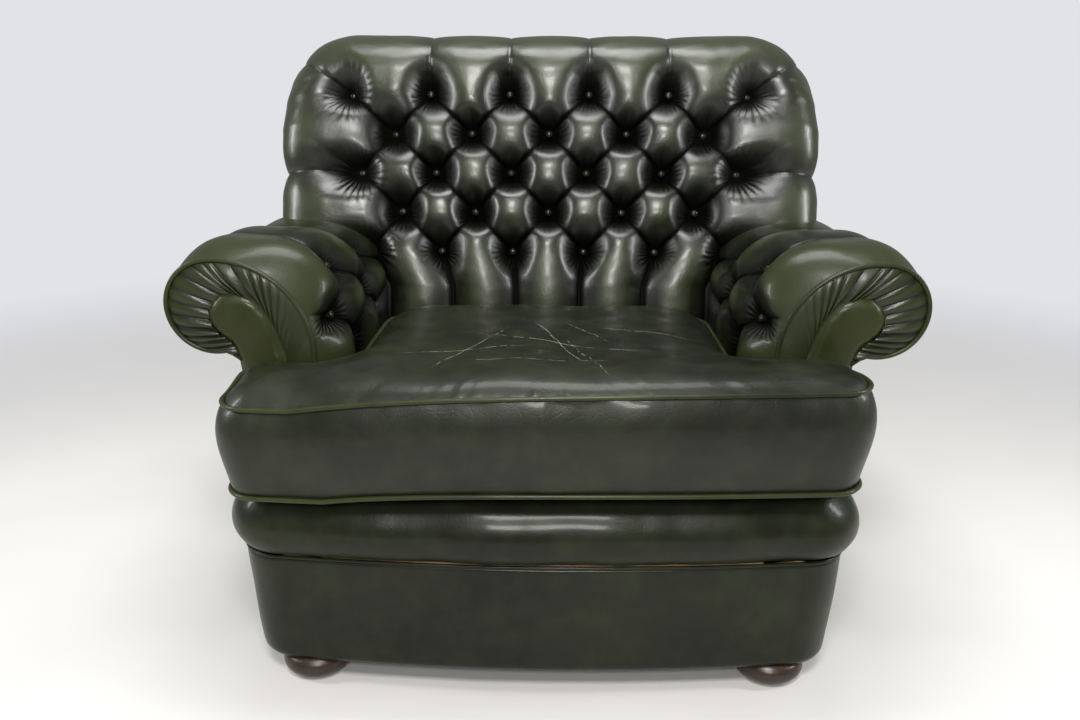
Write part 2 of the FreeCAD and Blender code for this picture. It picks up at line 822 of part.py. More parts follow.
def make_cushion():
    boxing = (PIPING_LOW + PIPING_HIGH) / 2
    outer = cushion_form(0.0, [
        (CUSHION_BASE, -42.0), (CUSHION_BASE + 5, -16.0), (PIPING_LOW, 0.0),
        (PIPING_LOW + 20, 4.0), (boxing, BOXING_BULGE), (PIPING_HIGH - 20, 4.0),
        (PIPING_HIGH, 0.0), (PIPING_HIGH + 11, -8.0), (CUSHION_CROWN - 7, -26.0),
        (CUSHION_CROWN, -62.0)])

    def filling(gap):
        return cushion_form(LEATHER + gap, [
            (CUSHION_BASE + LEATHER + gap, -42.0), (PIPING_LOW, 0.0), (boxing, 4.0),
            (PIPING_HIGH, 0.0), (CUSHION_CROWN - 9 - gap, -26.0), (CUSHION_CROWN - 3 - gap, -62.0)])

    save("cushion_core", filling(0.4))
    save("cushion_cover", outer.cut(filling(0.0)))
    for name, z in (("cushion_top_piping", PIPING_HIGH), ("cushion_bottom_piping", PIPING_LOW)):
        path = stations(cushion_plan(PIPING_R + 0.2), plan(z), 0.4)[:-1]
        save(name, cord(path, round_section(PIPING_R, 6), Vector(0, 0, 1), True))
    make_zip(CUSHION_REAR + BOXING_BULGE, boxing)


def make_zip(y, z):
    """Zip along the rear boxing: tape, chain, end stops and a slider that runs on it."""
    half = 215.0
    chain = box(-half, half, y + 1.2, y + 3.2, z - 2.5, z + 2.5)
    tape = box(-half - 8, half + 8, y, y + 1.2, z - 11, z + 11)
    stops = [box(x - 3, x + 3, y + 1.2, y + 4.2, z - 4, z + 4) for x in (-half - 3, half + 3)]
    save("cushion_zip", tape.fuse(chain).fuse(stops[0]).fuse(stops[1]).removeSplitter())
    start = -half + 2
    body = box(start, start + 11, y + 1.5, y + 5.0, z - 5, z + 5)
    slot = box(start - 1, start + 12, y + 1.2, y + 3.5, z - 2.8, z + 2.8)
    save("zip_slider", body.cut(slot))


def front_plan(half, front, corner, back):
    """Plan of the seat front: a gentle bow, round corners and straight sides."""
    edge = half - corner
    bowed = front + BORDER_BOW
    return both_halves(
        (0.0, front),
        ((edge / 2, front + BORDER_BOW / 4), (edge, bowed)),
        turn(edge, bowed + corner, corner, -90, 0),
        (half, back),
        (0.0, back))


def make_seat_front():
    back = ARM_FRONT - 2.0

    def border(inset, back_y):
        return stack([(z, front_plan(half - inset, BORDER_FRONT + inset,
                                     BORDER_CORNER - inset, back_y))
                      for z, half in ((BORDER_LOW, BORDER_HALF_LOW),
                                      (BORDER_HIGH, BORDER_HALF_HIGH))], 0.3)

    panel = border(0.0, back).cut(border(BORDER_THICK, back + 20.0))
    save("front_border_cover", panel)

    levels = [(LIP_LOW, 0.0, 0.0), (LIP_LOW + 14, 9.0, 7.0), (LIP_LOW + 50, 14.0, 11.0),
              (DECK - 26, 10.0, 7.0), (DECK - 9, 1.0, -3.0), (DECK, -12.0, -20.0)]

    def lip(inset, back_y, low, high):
        return stack([(min(max(z, low), high),
                       front_plan(BORDER_HALF_HIGH + wide - inset, BORDER_FRONT - far + inset,
                                  BORDER_CORNER - inset, back_y))
                      for z, wide, far in levels], 0.3)

    inner_back = -338.0
    room = box(-300.0, 300.0, inner_back, 0.0, LIP_LOW - 20, DECK + 20)
    whole = lip(0.0, back, LIP_LOW, DECK)
    stuffing = lip(LEATHER + 0.3, back, LIP_LOW, DECK - LEATHER - 0.3)
    sheath = whole.cut(lip(LEATHER, back + 10.0, LIP_LOW - 10, DECK - LEATHER))
    save("lip_cover", sheath.cut(room))
    save("lip_pad", stuffing.cut(room))

    seam = (BORDER_HIGH + LIP_LOW) / 2
    around = front_plan(BORDER_HALF_HIGH - 1.0, BORDER_FRONT + 1.0, BORDER_CORNER, back)
    pieces = [piece for piece in around if min(piece[0][1], piece[2][1]) < back - 1.0]
    half = len(pieces) // 2
    path = stations(pieces[half:] + pieces[:half], plan(seam), 0.3)
    save("border_welt", cord(path, round_section(PIPING_R - 0.2, 6), Vector(0, 0, 1)))


def make_platform():
    """Pad and cloth that the cushion lies on, over hessian on the seat rails."""
    low = 258.0
    half = 294.0
    front = FRONT_RAIL_INNER + 17.0
    rear = TACK_RAIL_Y - 4.0
    wide = 346.0
    hessian = mirrored(plan(low - 1.6), (0.0, front + 1.0), (half + 4.0, front + 1.0),
                       (half + 4.0, ARM_FRONT + 1), (wide, ARM_FRONT + 1), (wide, rear),
                       (0.0, rear))
    save("seat_hessian", plate(hessian, Vector(0, 0, 1.5)))
    top = DECK - LEATHER
    save("platform_pad", box(-half, half, front, BACK_FRONT - 2, low, top))
    save("platform_cover", box(-half - 1.5, half + 1.5, front, rear, top, DECK))


# Frame

def front_rail_face(x):
    """Bowed front face of the front rail."""
    bowed_half = BORDER_HALF_LOW - BORDER_CORNER - BORDER_THICK - 2.0
    return BORDER_FRONT + BORDER_THICK + 1.0 + BORDER_BOW * (x / bowed_half) ** 2


def make_rails():
    half = 318.0
    face = front_rail_face(0.0)
    side = front_rail_face(half)
    outline = mirrored(plan(RAIL_BASE), (0.0, face),
                       ((half / 2, face + (side - face) / 4), (half, side)),
                       (half, FRONT_RAIL_INNER), (0.0, FRONT_RAIL_INNER))
    save("front_seat_rail", plate(outline, Vector(0, 0, FRONT_RAIL_TOP - RAIL_BASE)))
    rear = rear_y(RAIL_BASE) - 8.0
    save("back_seat_rail", box(-SIDE_RAIL_X + 0.2, SIDE_RAIL_X - 0.2, rear - TIMBER, rear,
                               RAIL_BASE, SIDE_RAIL_TOP))
    save_pair("seat_rail", box(SIDE_RAIL_X, SIDE_RAIL_X + TIMBER, CORNER_POST_BACK, POST_FRONT,
                               RAIL_BASE, SIDE_RAIL_TOP))
    r = BORDER_CORNER - BORDER_THICK - 2.0
    hub_x = BORDER_HALF_LOW - BORDER_CORNER
    hub_y = BORDER_FRONT + BORDER_BOW + BORDER_CORNER
    back = CORNER_POST_BACK - 0.4
    rise = math.degrees(math.asin((back - hub_y) / r))
    post = closed(plan(RAIL_BASE), (half + 0.2, side + 2.0), (half + 0.2, back),
                  (hub_x + r * math.cos(math.radians(rise)), back),
                  turn(hub_x, hub_y, r, rise, -90))
    bolt = rod(FOOT_X, FOOT_FRONT_Y, 30.0, 70.0, BOLT_R + 0.2)
    save_pair("front_corner_post",
              plate(post, Vector(0, 0, FRONT_RAIL_TOP - RAIL_BASE)).cut(bolt))
    block = closed(plan(RAIL_BASE), (SIDE_RAIL_X - 0.5, rear - TIMBER - 0.2),
                   (SIDE_RAIL_X - 0.5, rear - TIMBER - 95.0),
                   (SIDE_RAIL_X - 95.0, rear - TIMBER - 0.2))
    bolt = rod(FOOT_X, FOOT_REAR_Y, 30.0, 70.0, BOLT_R + 0.2)
    rear_block = plate(block, Vector(0, 0, 60)).cut(bolt)
    save("corner_blocks", rear_block, flipped(rear_block))


def make_arm_frame():
    r = ARM_SHOULDER_R - ARM_PAD - 1.5
    hub = SCROLL_R - ARM_PAD - 1.5
    low = math.radians(90 - SCROLL_END)
    under_scroll = (SCROLL_X + hub * math.cos(low) - 22.0, OUTSIDE_HIGH_Z + 7.0)
    outline = closed(
        front_view(ARM_FRONT),
        (ARM_SHOULDER_X - r, RAIL_BASE),
        (ARM_SHOULDER_X - r, ARM_SHOULDER_Z),
        turn(ARM_SHOULDER_X, ARM_SHOULDER_Z, r, 180, 90),
        (SCROLL_X, ARM_SHOULDER_Z + r),
        turn(SCROLL_X, SCROLL_Z, hub, 90, 0),
        turn(SCROLL_X, SCROLL_Z, hub, 0, 90 - SCROLL_END),
        under_scroll,
        ((OUTSIDE_MID - 7.0, OUTSIDE_MID_Z), (OUTSIDE_LOW - 8.0, RAIL_BASE)))
    board = plate(outline, Vector(0, 24, 0))
    rail = box(SIDE_RAIL_X - 1.0, SIDE_RAIL_X + TIMBER + 1.0, -400.0, 0.0, 0.0, SIDE_RAIL_TOP + 1)
    save_pair("arm_post", board.cut(rail))
    back = ARM_FRONT + 24.2
    save_pair("arm_top_rail", box(ARM_SHOULDER_X + 1.0, SCROLL_X + 2.0, back,
                                  rear_y(SCROLL_Z) - 40.0, ARM_RAIL_LOW, ARM_RAIL_LOW + TIMBER))
    save_pair("arm_tack_rail", box(361.0, 387.0, back, TACK_RAIL_Y - 0.2, 336.0, 384.0))


def make_back_frame():
    inset = 8.0
    face = BACK_PAD + 4.0
    post_top = BACK_FLAT_TOP - 20.0
    low = back_lean_point(50.0, face)
    high = back_lean_point(post_top, face)
    far = back_lean_point(post_top, rear_deep() - 14.0)
    outline = closed(side_view(SIDE_RAIL_X), (POST_FRONT, RAIL_BASE), (POST_FRONT, low[1] - 20.0),
                     low, high, far, (rear_y(far[1] - 40.0) - inset, far[1] - 40.0),
                     (rear_y(RAIL_BASE) - inset, RAIL_BASE))
    save_pair("back_post", plate(outline, Vector(TIMBER, 0, 0)))
    rail_top = BACK_FLAT_TOP + 1.0
    rail_low = rail_top - 70.0
    rail = closed(side_view(-SIDE_RAIL_X + 0.2), back_lean_point(rail_top, face),
                  back_lean_point(rail_low, face), back_lean_point(rail_low, face + TIMBER),
                  back_lean_point(rail_top, face + TIMBER))
    save("back_top_rail", plate(rail, Vector(2 * SIDE_RAIL_X - 0.4, 0, 0)))
    half = 410.0
    save("back_tack_rail", box(-half, half, TACK_RAIL_Y, TACK_RAIL_Y + TIMBER, 336.0, 396.0))
    save("back_webbing", *[webbing_strap(x, face - 2.0, rail_low, rail_top - 16.0)
                           for x in (-250.0, -150.0, -50.0, 50.0, 150.0, 250.0)])


def webbing_strap(x, deep, bend_up, end_up):
    """Upright strap from the tack rail to the top rail."""
    half = 22.0
    thick = 1.8
    y = TACK_RAIL_Y - 2.0
    bend = back_lean_point(bend_up, deep)
    tip = back_lean_point(end_up, deep)
    outline = closed(side_view(x - half), (y, 345.0), (y, 396.0), bend, tip,
                     (tip[0] + 1.6, tip[1] + 0.5), (bend[0] + 1.6, bend[1] + 0.5),
                     (y + thick, 396.0), (y + thick, 345.0))
    return plate(outline, Vector(2 * half, 0, 0))


def spring_points(x0):
    """Zigzag path of one flat spring, arched between the front and back rails."""
    y0 = FRONT_RAIL_INNER + 4.2
    y1 = rear_y(RAIL_BASE) - 8.0 - TIMBER - 4.2
    gap = (y1 - y0) / (SPRING_RUNS - 1)
    points = []
    for run in range(SPRING_RUNS):
        share = run / (SPRING_RUNS - 1)
        y = y0 + gap * run
        z = SPRING_END_Z + SPRING_ARCH * math.sin(math.pi * share)
        side = 1 if run % 2 else -1
        near = Vector(x0 - side * SPRING_HALF * 0.6, y, z)
        far = Vector(x0 + side * SPRING_HALF * 0.6, y, z)
        points += [near, far]
        if run < SPRING_RUNS - 1:
            next_z = SPRING_END_Z + SPRING_ARCH * math.sin(math.pi * (run + 1) / (SPRING_RUNS - 1))
            points.append(Vector(x0 + side * SPRING_HALF, y + gap / 2, (z + next_z) / 2))
    return points


def make_springs():
    springs = []
    clips = []
    for x in SPRING_XS:
        path = spring_points(x)
        springs.append(cord(path, round_section(SPRING_WIRE / 2, 4), Vector(0, 0, 1)))
        for end in (path[0].y, path[-1].y):
            clip = box(x - 8, x + 8, end - 4.0, end + 4.0, SPRING_END_Z - 4, SPRING_END_Z + 4)
            eye = box(x - 9, x + 9, end - 2.6, end + 2.6, SPRING_END_Z - 2.6, SPRING_END_Z + 2.6)
            clips.append(clip.cut(eye))
    save("seat_springs", *springs)
    save("spring_clips", *clips)


# Outside back, underside and feet

def rear_slab():
    """Thin sloping layer that the panels at the rear are cut from."""
    half = REAR_PANEL_THICK / 2
    outline = closed(side_view(-600.0), (rear_y(0.0) - half, 0.0),
                     (rear_y(1000.0) - half, 1000.0), (rear_y(1000.0) + half, 1000.0),
                     (rear_y(0.0) + half, 0.0))
    return plate(outline, Vector(1200, 0, 0))


def make_outside_back():
    rim = REAR_PANEL_RIM
    half_top = BACK_FLAT_HALF + rim
    top = back_lean_point(BACK_FLAT_TOP, rear_deep())[1] + rim
    corner = BACK_CORNER_R + rim
    outline = mirrored(front_view(200.0), (0.0, BORDER_LOW), (OUTSIDE_LOW - 3.0, BORDER_LOW),
                       ((OUTSIDE_MID - 3.0, OUTSIDE_MID_Z), (OUTSIDE_HIGH - 5.0, OUTSIDE_HIGH_Z)),
                       (half_top, SCROLL_Z), (half_top, top - corner),
                       turn(half_top - corner, top - corner, corner, 0, 90), (0.0, top))
    panel = plate(outline, Vector(0, 400, 0)).common(rear_slab())
    save("outside_back", panel.Solids[0])


def make_arm_ends():
    """Boards that close the rear of each scroll, beside the outside back."""
    inner = BACK_FLAT_HALF + REAR_PANEL_RIM + 3.0
    top = ARM_SHOULDER_Z + ARM_SHOULDER_R
    outline = legs((SCROLL_X, top), [
        turn(SCROLL_X, SCROLL_Z, SCROLL_R, 90, 0), turn(SCROLL_X, SCROLL_Z, SCROLL_R, 0, -90),
        (inner + 5, SCROLL_Z - SCROLL_R), (inner + 5, SCROLL_Z + 6.0), (inner, SCROLL_Z + 9.0),
        (inner, top), (SCROLL_X, top)])
    end = Part.makePolygon(stations(outline, sunk_view(200.0), 0.3))
    board = plate(end, Vector(0, 400, 0)).common(rear_slab())
    save_pair("arm_end_board", board.Solids[0])


def foot(x, y):
    """Turned bun foot with a bore for its bolt."""
    levels = [(0.0, 33.0), (5.0, 44.0), (12.0, 50.5), (20.0, FOOT_R), (27.0, 50.5),
              (33.0, 44.0), (36.5, 29.0), (FOOT_HEIGHT, 28.0)]
    rings = [[Vector(x + u, y + v, z) for u, v in round_section(radius, 24)]
             for z, radius in levels]
    return ring_stack(rings).cut(rod(x, y, 8.0, 40.0, BOLT_R + 0.2))


def make_feet():
    for row, y in (("front", FOOT_FRONT_Y), ("rear", FOOT_REAR_Y)):
        save(row + "_feet", foot(FOOT_X, y), foot(-FOOT_X, y))
    spots = [(x, y) for x in (-FOOT_X, FOOT_X) for y in (FOOT_FRONT_Y, FOOT_REAR_Y)]
    save("foot_bolts", *[rod(x, y, 10.0, 76.0, BOLT_R) for x, y in spots])
    inset = BORDER_THICK + 2.0
    sheet = front_plan(BORDER_HALF_LOW - inset, BORDER_FRONT + inset, BORDER_CORNER - inset,
                       rear_y(FOOT_HEIGHT) - 8.0)
    sheet = Part.makePolygon(stations(sheet, plan(FOOT_HEIGHT + 0.3), 0.3))
    cloth = plate(sheet, Vector(0, 0, 1.0))
    for x, y in spots:
        cloth = cloth.cut(rod(x, y, FOOT_HEIGHT - 5, 20.0, BOLT_R + 3))
    save("dust_cover", cloth)


make_back()
make_arms()
make_arm_fronts()
make_outside_arm()
make_cushion()
make_seat_front()
make_platform()
make_rails()
make_arm_frame()
make_back_frame()
make_springs()
make_outside_back()
make_arm_ends()
make_feet()
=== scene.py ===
"""Looks of a deep-buttoned scroll-arm armchair in dark green leather.

Metres. +Z is up and the front faces -Y. Right-hand pieces are made first and mirrored.
"""

import json
import math

import bpy
import numpy as np
from mathutils import Matrix, Vector
from mathutils.geometry import delaunay_2d_cdt


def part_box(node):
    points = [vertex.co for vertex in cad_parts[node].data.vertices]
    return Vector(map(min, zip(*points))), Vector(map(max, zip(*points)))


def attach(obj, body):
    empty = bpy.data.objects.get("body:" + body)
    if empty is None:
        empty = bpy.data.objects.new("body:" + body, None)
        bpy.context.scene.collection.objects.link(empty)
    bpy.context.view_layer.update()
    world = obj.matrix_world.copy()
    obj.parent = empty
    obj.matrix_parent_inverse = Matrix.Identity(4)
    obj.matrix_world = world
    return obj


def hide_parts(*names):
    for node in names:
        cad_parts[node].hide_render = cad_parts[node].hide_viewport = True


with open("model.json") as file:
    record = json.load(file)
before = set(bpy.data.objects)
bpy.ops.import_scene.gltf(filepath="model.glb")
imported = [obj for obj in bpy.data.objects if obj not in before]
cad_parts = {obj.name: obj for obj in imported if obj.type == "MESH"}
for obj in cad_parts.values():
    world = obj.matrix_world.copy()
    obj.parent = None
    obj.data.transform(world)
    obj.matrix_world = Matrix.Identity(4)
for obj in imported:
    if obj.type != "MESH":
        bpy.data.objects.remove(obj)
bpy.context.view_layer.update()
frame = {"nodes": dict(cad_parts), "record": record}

# Camera: where it stands, how far it looks down and to the left, its tilt and its lens
CAMERA_AT = (0.018, -1.54, 0.87)
CAMERA_DOWN = math.radians(17.3)
CAMERA_LEFT = math.radians(1.1)
CAMERA_ROLL = math.radians(-0.2)
CAMERA_LENS = 30.0

# Room: its light, its level and tint to the eye, and where the floor fades into it
ROOM_LIGHT = 0.30
ROOM_SEEN = 0.80
ROOM_TINT = (0.95, 0.96, 1.0, 1.0)
FLOOR_NEAR = 0.9
FLOOR_FAR = 3.2

# Lamps: name, place, where they point, width, height, watts and tint
WARM = (1.0, 0.98, 0.95)
WHITE = (1.0, 1.0, 1.0)
LAMPS = [("key", (0.0, -2.0, 2.7), (0.0, 0.0, 0.6), 0.8, 0.6, 60.0, WARM),
         ("low", (0.0, -2.5, 1.65), (0.0, 0.0, 0.6), 0.6, 0.4, 32.0, WARM),
         ("top", (0.0, 0.1, 2.8), (0.0, 0.0, 0.55), 1.4, 0.9, 40.0, WHITE),
         ("strip", (-2.0, -0.4, 1.35), (0.0, 0.1, 0.8), 0.26, 1.0, 20.0, WHITE),
         ("strip", (2.0, -0.4, 1.35), (0.0, 0.1, 0.8), 0.26, 1.0, 20.0, WHITE)]

# Seat cushion, a T in plan
CUSHION_HALF = 0.441
CUSHION_FRONT = -0.433
CUSHION_BOW = 0.015
EAR_FRONT_R = 0.050
EAR_BACK = -0.268
EAR_BACK_R = 0.036
NECK_HALF = 0.277
NECK_R = 0.066
CUSHION_REAR = 0.058
CUSHION_REAR_R = 0.084
CUSHION_BASE = 0.320
PIPING_LOW = 0.333
PIPING_HIGH = 0.462
FRONT_HIGH = 0.447
FRONT_HIGH_RISE = 0.032
FRONT_LOW = 0.317
FRONT_LOW_RISE = 0.017
CROWN_QUICK = (0.020, 0.017)
CROWN_SLOW = (0.014, 0.10)
BOXING_BULGE = 0.014
PIPING_R = 0.0035

# Padded lip and plain border under the cushion
DECK = 0.3195
LIP_LOW = 0.212
LIP_OUT = 0.030
LIP_BACK = 0.008
LIP_LEAN = 0.034
LIP_LEAN_FROM = 0.235
LIP_FROM = -88.0
LIP_TO = 112.0
BORDER_LOW = 0.038
BORDER_HIGH = 0.207
WELT_R = 0.0026
BORDER_HALF_LOW = 0.434
BORDER_HALF_HIGH = 0.447
BORDER_FRONT = -0.411
BORDER_BOW = 0.022
BORDER_CORNER = 0.072

# Arms: section across X and Z of the right arm
ARM_FRONT = -0.246
ARM_INSIDE = 0.2974
ARM_SHOULDER_X = 0.437
ARM_SHOULDER_Z = 0.500
ARM_SHOULDER_R = 0.140
SCROLL_X = 0.482
SCROLL_Z = 0.556
SCROLL_R = 0.084
SCROLL_END = math.radians(195.0)
ARM_BASE = 0.330
ARM_TUFT = 0.033
ARM_ROW_STEP = 0.076
ARM_ROW_C = 0.127
ARM_COLUMN_STEP = 0.094
ARM_COLUMN_0 = -0.203
ARM_SWELL = 0.065
ARM_FALL = 0.020
FALL_FRONT_Y = -0.100
FALL_FROM_Z = 0.473
FACE_SCROLL_X = 0.493
FACE_SCROLL_Z = 0.547
FACE_SCROLL_R = 0.070
FACE_INNER_X = 0.489
FACE_INNER_Z = 0.475
FACE_INNER_R = 0.142
FACING_X = 0.464
FACING_Z = 0.532
FACING_R = 0.0385
RUCHE_PLEATS = 30
RUCHE_DEPTH = 0.0062
RUCHE_FADE = [(0.0, 1.0), (0.45, 1.0), (0.57, 0.4), (0.64, 0.06), (1.0, 0.03)]
PIPING_START = -104

# Back
BACK_FRONT = 0.078
BACK_LEAN = math.radians(18.0)
BACK_BEND_R = 0.414
BACK_BEND_Z = 0.475
BACK_LOW = 0.330
BACK_FLAT_HALF = 0.415
BACK_FLAT_TOP = 0.432
BACK_CORNER_R = 0.045
BACK_ROLL_R = 0.100
BACK_ROLL_ARC = 0.108
BACK_WRAP = math.radians(150.0)
BACK_TUFT = 0.045
BACK_ROW_5 = 0.100
BACK_ROW_STEP = 0.0742
BACK_COLUMN_TOP = 0.0750
BACK_COLUMN_TAPER = 0.0021
BACK_FLUTE_TAPER = 0.009
BACK_COLUMN_LOW = 0.059
REAR_LOW = 0.3495
REAR_SLOPE = 0.0964
REAR_LOW_Z = 0.040

# Outside panels: half widths at the bottom edge, at mid height and under the scroll
OUTSIDE_LOW = 0.434
OUTSIDE_MID = 0.446
OUTSIDE_MID_Z = 0.262
OUTSIDE_HIGH = 0.461
OUTSIDE_HIGH_Z = 0.473
REAR_PANEL_RIM = 0.039

# Tufting: how far a pleat draws the leather in, in lattice steps, its lip and its puckers
ROUND = 0.45
# How deep a pleat's middle counts for the painted shade along its valley
SHADE_VALLEY = 0.85
PILLOW_REACH = 0.707
BOLSTER_REACH = 1.5
FLUTE_REACH = 1.0
FOLD_LIP = 0.0045
PUCKER = 0.0014
PUCKER_FROM = 0.012
PUCKER_WIDTH = 0.009
PUCKERS = 11
WRINKLES = 23.0
EDGE_PULL = 0.62
EDGE_SUNK = 0.009
GRID = 24

# Leather under other leather isn't made: on the back so deep inside an arm, on the arms
# behind this depth and nearer to the middle than this
COVERED_DEEP = 0.022
COVERED_BEHIND = 0.19
COVERED_WITHIN = 0.40

# Leather's coat and shine, the step along outlines, buttons and feet
COAT = 0.14
SHINE = 0.17
STEP = 0.004
BUTTON_R = 0.0065
FOOT_X = 0.347
FOOT_FRONT_Y = -0.346
FOOT_REAR_Y = 0.285
FOOT_R = 0.052
FOOT_HEIGHT = 0.042


# Mesh tools

def stack(*coordinates):
    """Points from their coordinates, any of which may be one number for all of them."""
    return np.stack(np.broadcast_arrays(*coordinates), -1)


def settle(depth, reach):
    """Rises from 0 at an edge towards 1, most of it within a reach."""
    return 1 - np.exp(-depth / reach)


def smoothstep(t):
    t = np.clip(t, 0.0, 1.0)
    return t * t * (3 - 2 * t)


def ripples(points, length, seed, waves=14):
    """Smooth random unevenness, mostly between -1 and 1, with swells about length apart."""
    rng = np.random.RandomState(seed)
    total = np.zeros(len(points))
    for _ in range(waves):
        heading = rng.normal(size=points.shape[1])
        heading *= 2 * math.pi / (length * rng.uniform(0.7, 1.6)) / np.linalg.norm(heading)
        total += np.sin(points @ heading + rng.uniform(0, 2 * math.pi))
    return total / math.sqrt(waves)


def in_scene(name, data):
    """A new object in the scene."""
    made = bpy.data.objects.new(name, data)
    bpy.context.scene.collection.objects.link(made)
    return made


def smooth_mesh(name, points, faces):
    mesh = bpy.data.meshes.new(name)
    mesh.from_pydata(points, [], faces)
    mesh.polygons.foreach_set("use_smooth", [True] * len(mesh.polygons))
    return mesh


def build(name, points, faces, fold=None, pull=None):
    """A smooth mesh object that keeps only the points its faces use."""
    faces = np.asarray(faces)
    used, renumbered = np.unique(faces, return_inverse=True)
    mesh = smooth_mesh(name, np.asarray(points)[used].tolist(),
                       renumbered.reshape(faces.shape).tolist())
    # fold carries the share of painted shade in folds and hollows, which the tufted hide's colour
    # reads.
    if fold is not None:
        layer = mesh.attributes.new("fold", "FLOAT", "POINT")
        layer.data.foreach_set("value", np.asarray(fold, np.float32)[used])
    if pull is not None:
        layer = mesh.attributes.new("pull", "FLOAT_VECTOR", "POINT")
        layer.data.foreach_set("vector", np.asarray(pull, np.float32)[used].ravel())
    return in_scene(name, mesh)


def dress(piece, material, slot, body, *nodes):
    """Gives a piece its leather or cloth, its body and the solids it stands for."""
    piece.data.materials.append(material)
    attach(piece, body)
    if nodes:
        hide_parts(*nodes)
    return piece


def both_sides(name, points, faces, material, slot, parts, fold=None, pull=None):
    """A right-hand piece and its left-hand twin, each standing for its own solids."""
    pieces = []
    for side, sign, turned in (("right", 1.0, faces), ("left", -1.0, faces[:, ::-1])):
        piece = build(side + "_" + name, points * (sign, 1.0, 1.0), turned, fold, pull)
        nodes = [side + "_" + part for part in parts]
        pieces.append(dress(piece, material, slot, "chair", *nodes))
    return pieces


def grid_faces(rows, columns, closed=False):
    """Quads over a grid of points, joined round in the columns' direction if closed."""
    r, c = np.meshgrid(np.arange(rows - 1), np.arange(columns - (not closed)), indexing="ij")
    n = (c + 1) % columns
    quads = stack(r * columns + c, r * columns + n, (r + 1) * columns + n,
                  (r + 1) * columns + c)
    return quads.reshape(-1, 4)


def cut_quads(quads, falling):
    """Triangles from quads, each cut along the diagonal that falling names."""
    a, b, e, d = quads.T
    first = np.where(falling[:, None], stack(a, b, e), stack(a, b, d))
    second = np.where(falling[:, None], stack(a, e, d), stack(b, e, d))
    return np.concatenate([first, second])


def arc(x, y, r, start, end):
    """Points round a corner, angles in degrees."""
    count = max(2, math.ceil(r * abs(math.radians(end - start)) / STEP))
    angle = np.radians(np.linspace(start, end, count + 1))
    return stack(x + r * np.cos(angle), y + r * np.sin(angle))


def trace(*stretches):
    """One even path through points and arcs, straight between them."""
    corners = np.concatenate([np.atleast_2d(np.asarray(s, float)) for s in stretches])
    path = [corners[0]]
    for here, there in zip(corners, corners[1:]):
        gap = np.linalg.norm(there - here)
        if gap > 1e-7:
            count = max(1, round(gap / STEP))
            path += [here + (there - here) * k / count for k in range(1, count + 1)]
    return np.array(path)


def run_along(path):
    """Distance along a path at each of its points."""
    steps = np.linalg.norm(np.diff(path, axis=0), axis=1)
    return np.concatenate([[0.0], np.cumsum(steps)])


def resample(path, count):
    """The same path with count points spaced evenly."""
    run = run_along(path)
    even = np.linspace(0.0, run[-1], count)
    return np.stack([np.interp(even, run, column) for column in path.T], -1)


def headings(path, closed):
    """Unit directions along a path."""
    if closed:
        along = np.roll(path, -1, axis=0) - np.roll(path, 1, axis=0)
    else:
        along = np.gradient(path, axis=0)
    return along / np.linalg.norm(along, axis=1)[:, None]


def outward(path, closed):
    """Unit normals to the right of a path."""
    along = headings(path, closed)
    return stack(along[:, 1], -along[:, 0])


def whole_loop(right_half):
    """Closed outline from its right half, which runs from front to rear on the centre line."""
    left = right_half[-2:0:-1] * np.array([-1.0, 1.0])
    return np.concatenate([right_half, left])


def inside(points, loop):
    """Which points lie inside a closed outline."""
    x, y = points[:, 0, None], points[:, 1, None]
    x0, y0 = loop.T
    x1, y1 = np.roll(loop, -1, axis=0).T
    crosses = (y0 > y) != (y1 > y)
    slope = np.where(y1 == y0, 1.0, y1 - y0)
    at = x0 + (y - y0) * (x1 - x0) / slope
    return (crosses & (x < at)).sum(1) % 2 == 1


def fill(loop, spacing, rings=(0.0015, 0.004, 0.0075)):
    """Triangles inside a closed outline, and how far inside it each point lies."""
    normals = outward(loop, True)
    points = [loop]
    depths = [np.zeros(len(loop))]
    for ring in rings:
        points.append(loop - normals * ring)
        depths.append(np.full(len(loop), ring))
    low, high = loop.min(0), loop.max(0)
    xs = np.arange(low[0], high[0], spacing)
    ys = np.arange(low[1], high[1], spacing * 0.866)
    gx, gy = np.meshgrid(xs, ys)
    gx[1::2] += spacing / 2
    spread = stack(gx.ravel(), gy.ravel())
    spread = spread[inside(spread, loop)]
    away = np.concatenate([np.linalg.norm(part[:, None] - loop[None], axis=2).min(1)
                           for part in np.array_split(spread, 12)])
    keep = away > rings[-1] + spacing * 0.6
    points.append(spread[keep])
    depths.append(away[keep])
    points = np.concatenate(points)
    depths = np.concatenate(depths)
    count = len(loop)
    edges = [(k, (k + 1) % count) for k in range(count)]
    vertices, _, faces, origins, _, _ = delaunay_2d_cdt(
        [Vector(p) for p in points], edges, [], 1, 1e-7)
    first = np.array([o[0] for o in origins])
    return np.array([tuple(v) for v in vertices]), np.array(faces), depths[first]


def tube(path, radius, up, closed=False, sides=12):
    """Round cord along a path; up is a direction that the path stays square to."""
    along = headings(path, closed)
    side = np.cross(along, up)
    side /= np.linalg.norm(side, axis=1)[:, None]
    other = np.cross(side, along)
    turns = np.linspace(0, 2 * math.pi, sides, endpoint=False)
    ring = (side[:, None] * np.cos(turns)[None, :, None]
            + other[:, None] * np.sin(turns)[None, :, None])
    radii = np.full(len(path), radius)
    if not closed:
        radii[[0, -1]] *= 0.45
    points = path[:, None] + ring * radii[:, None, None]
    faces = grid_faces(len(path), sides, True)
    if closed:
        here = np.arange(sides)
        after = (here + 1) % sides
        last = (len(path) - 1) * sides
        faces = np.concatenate([faces, stack(last + here, last + after, after, here)])
    return points.reshape(-1, 3), faces


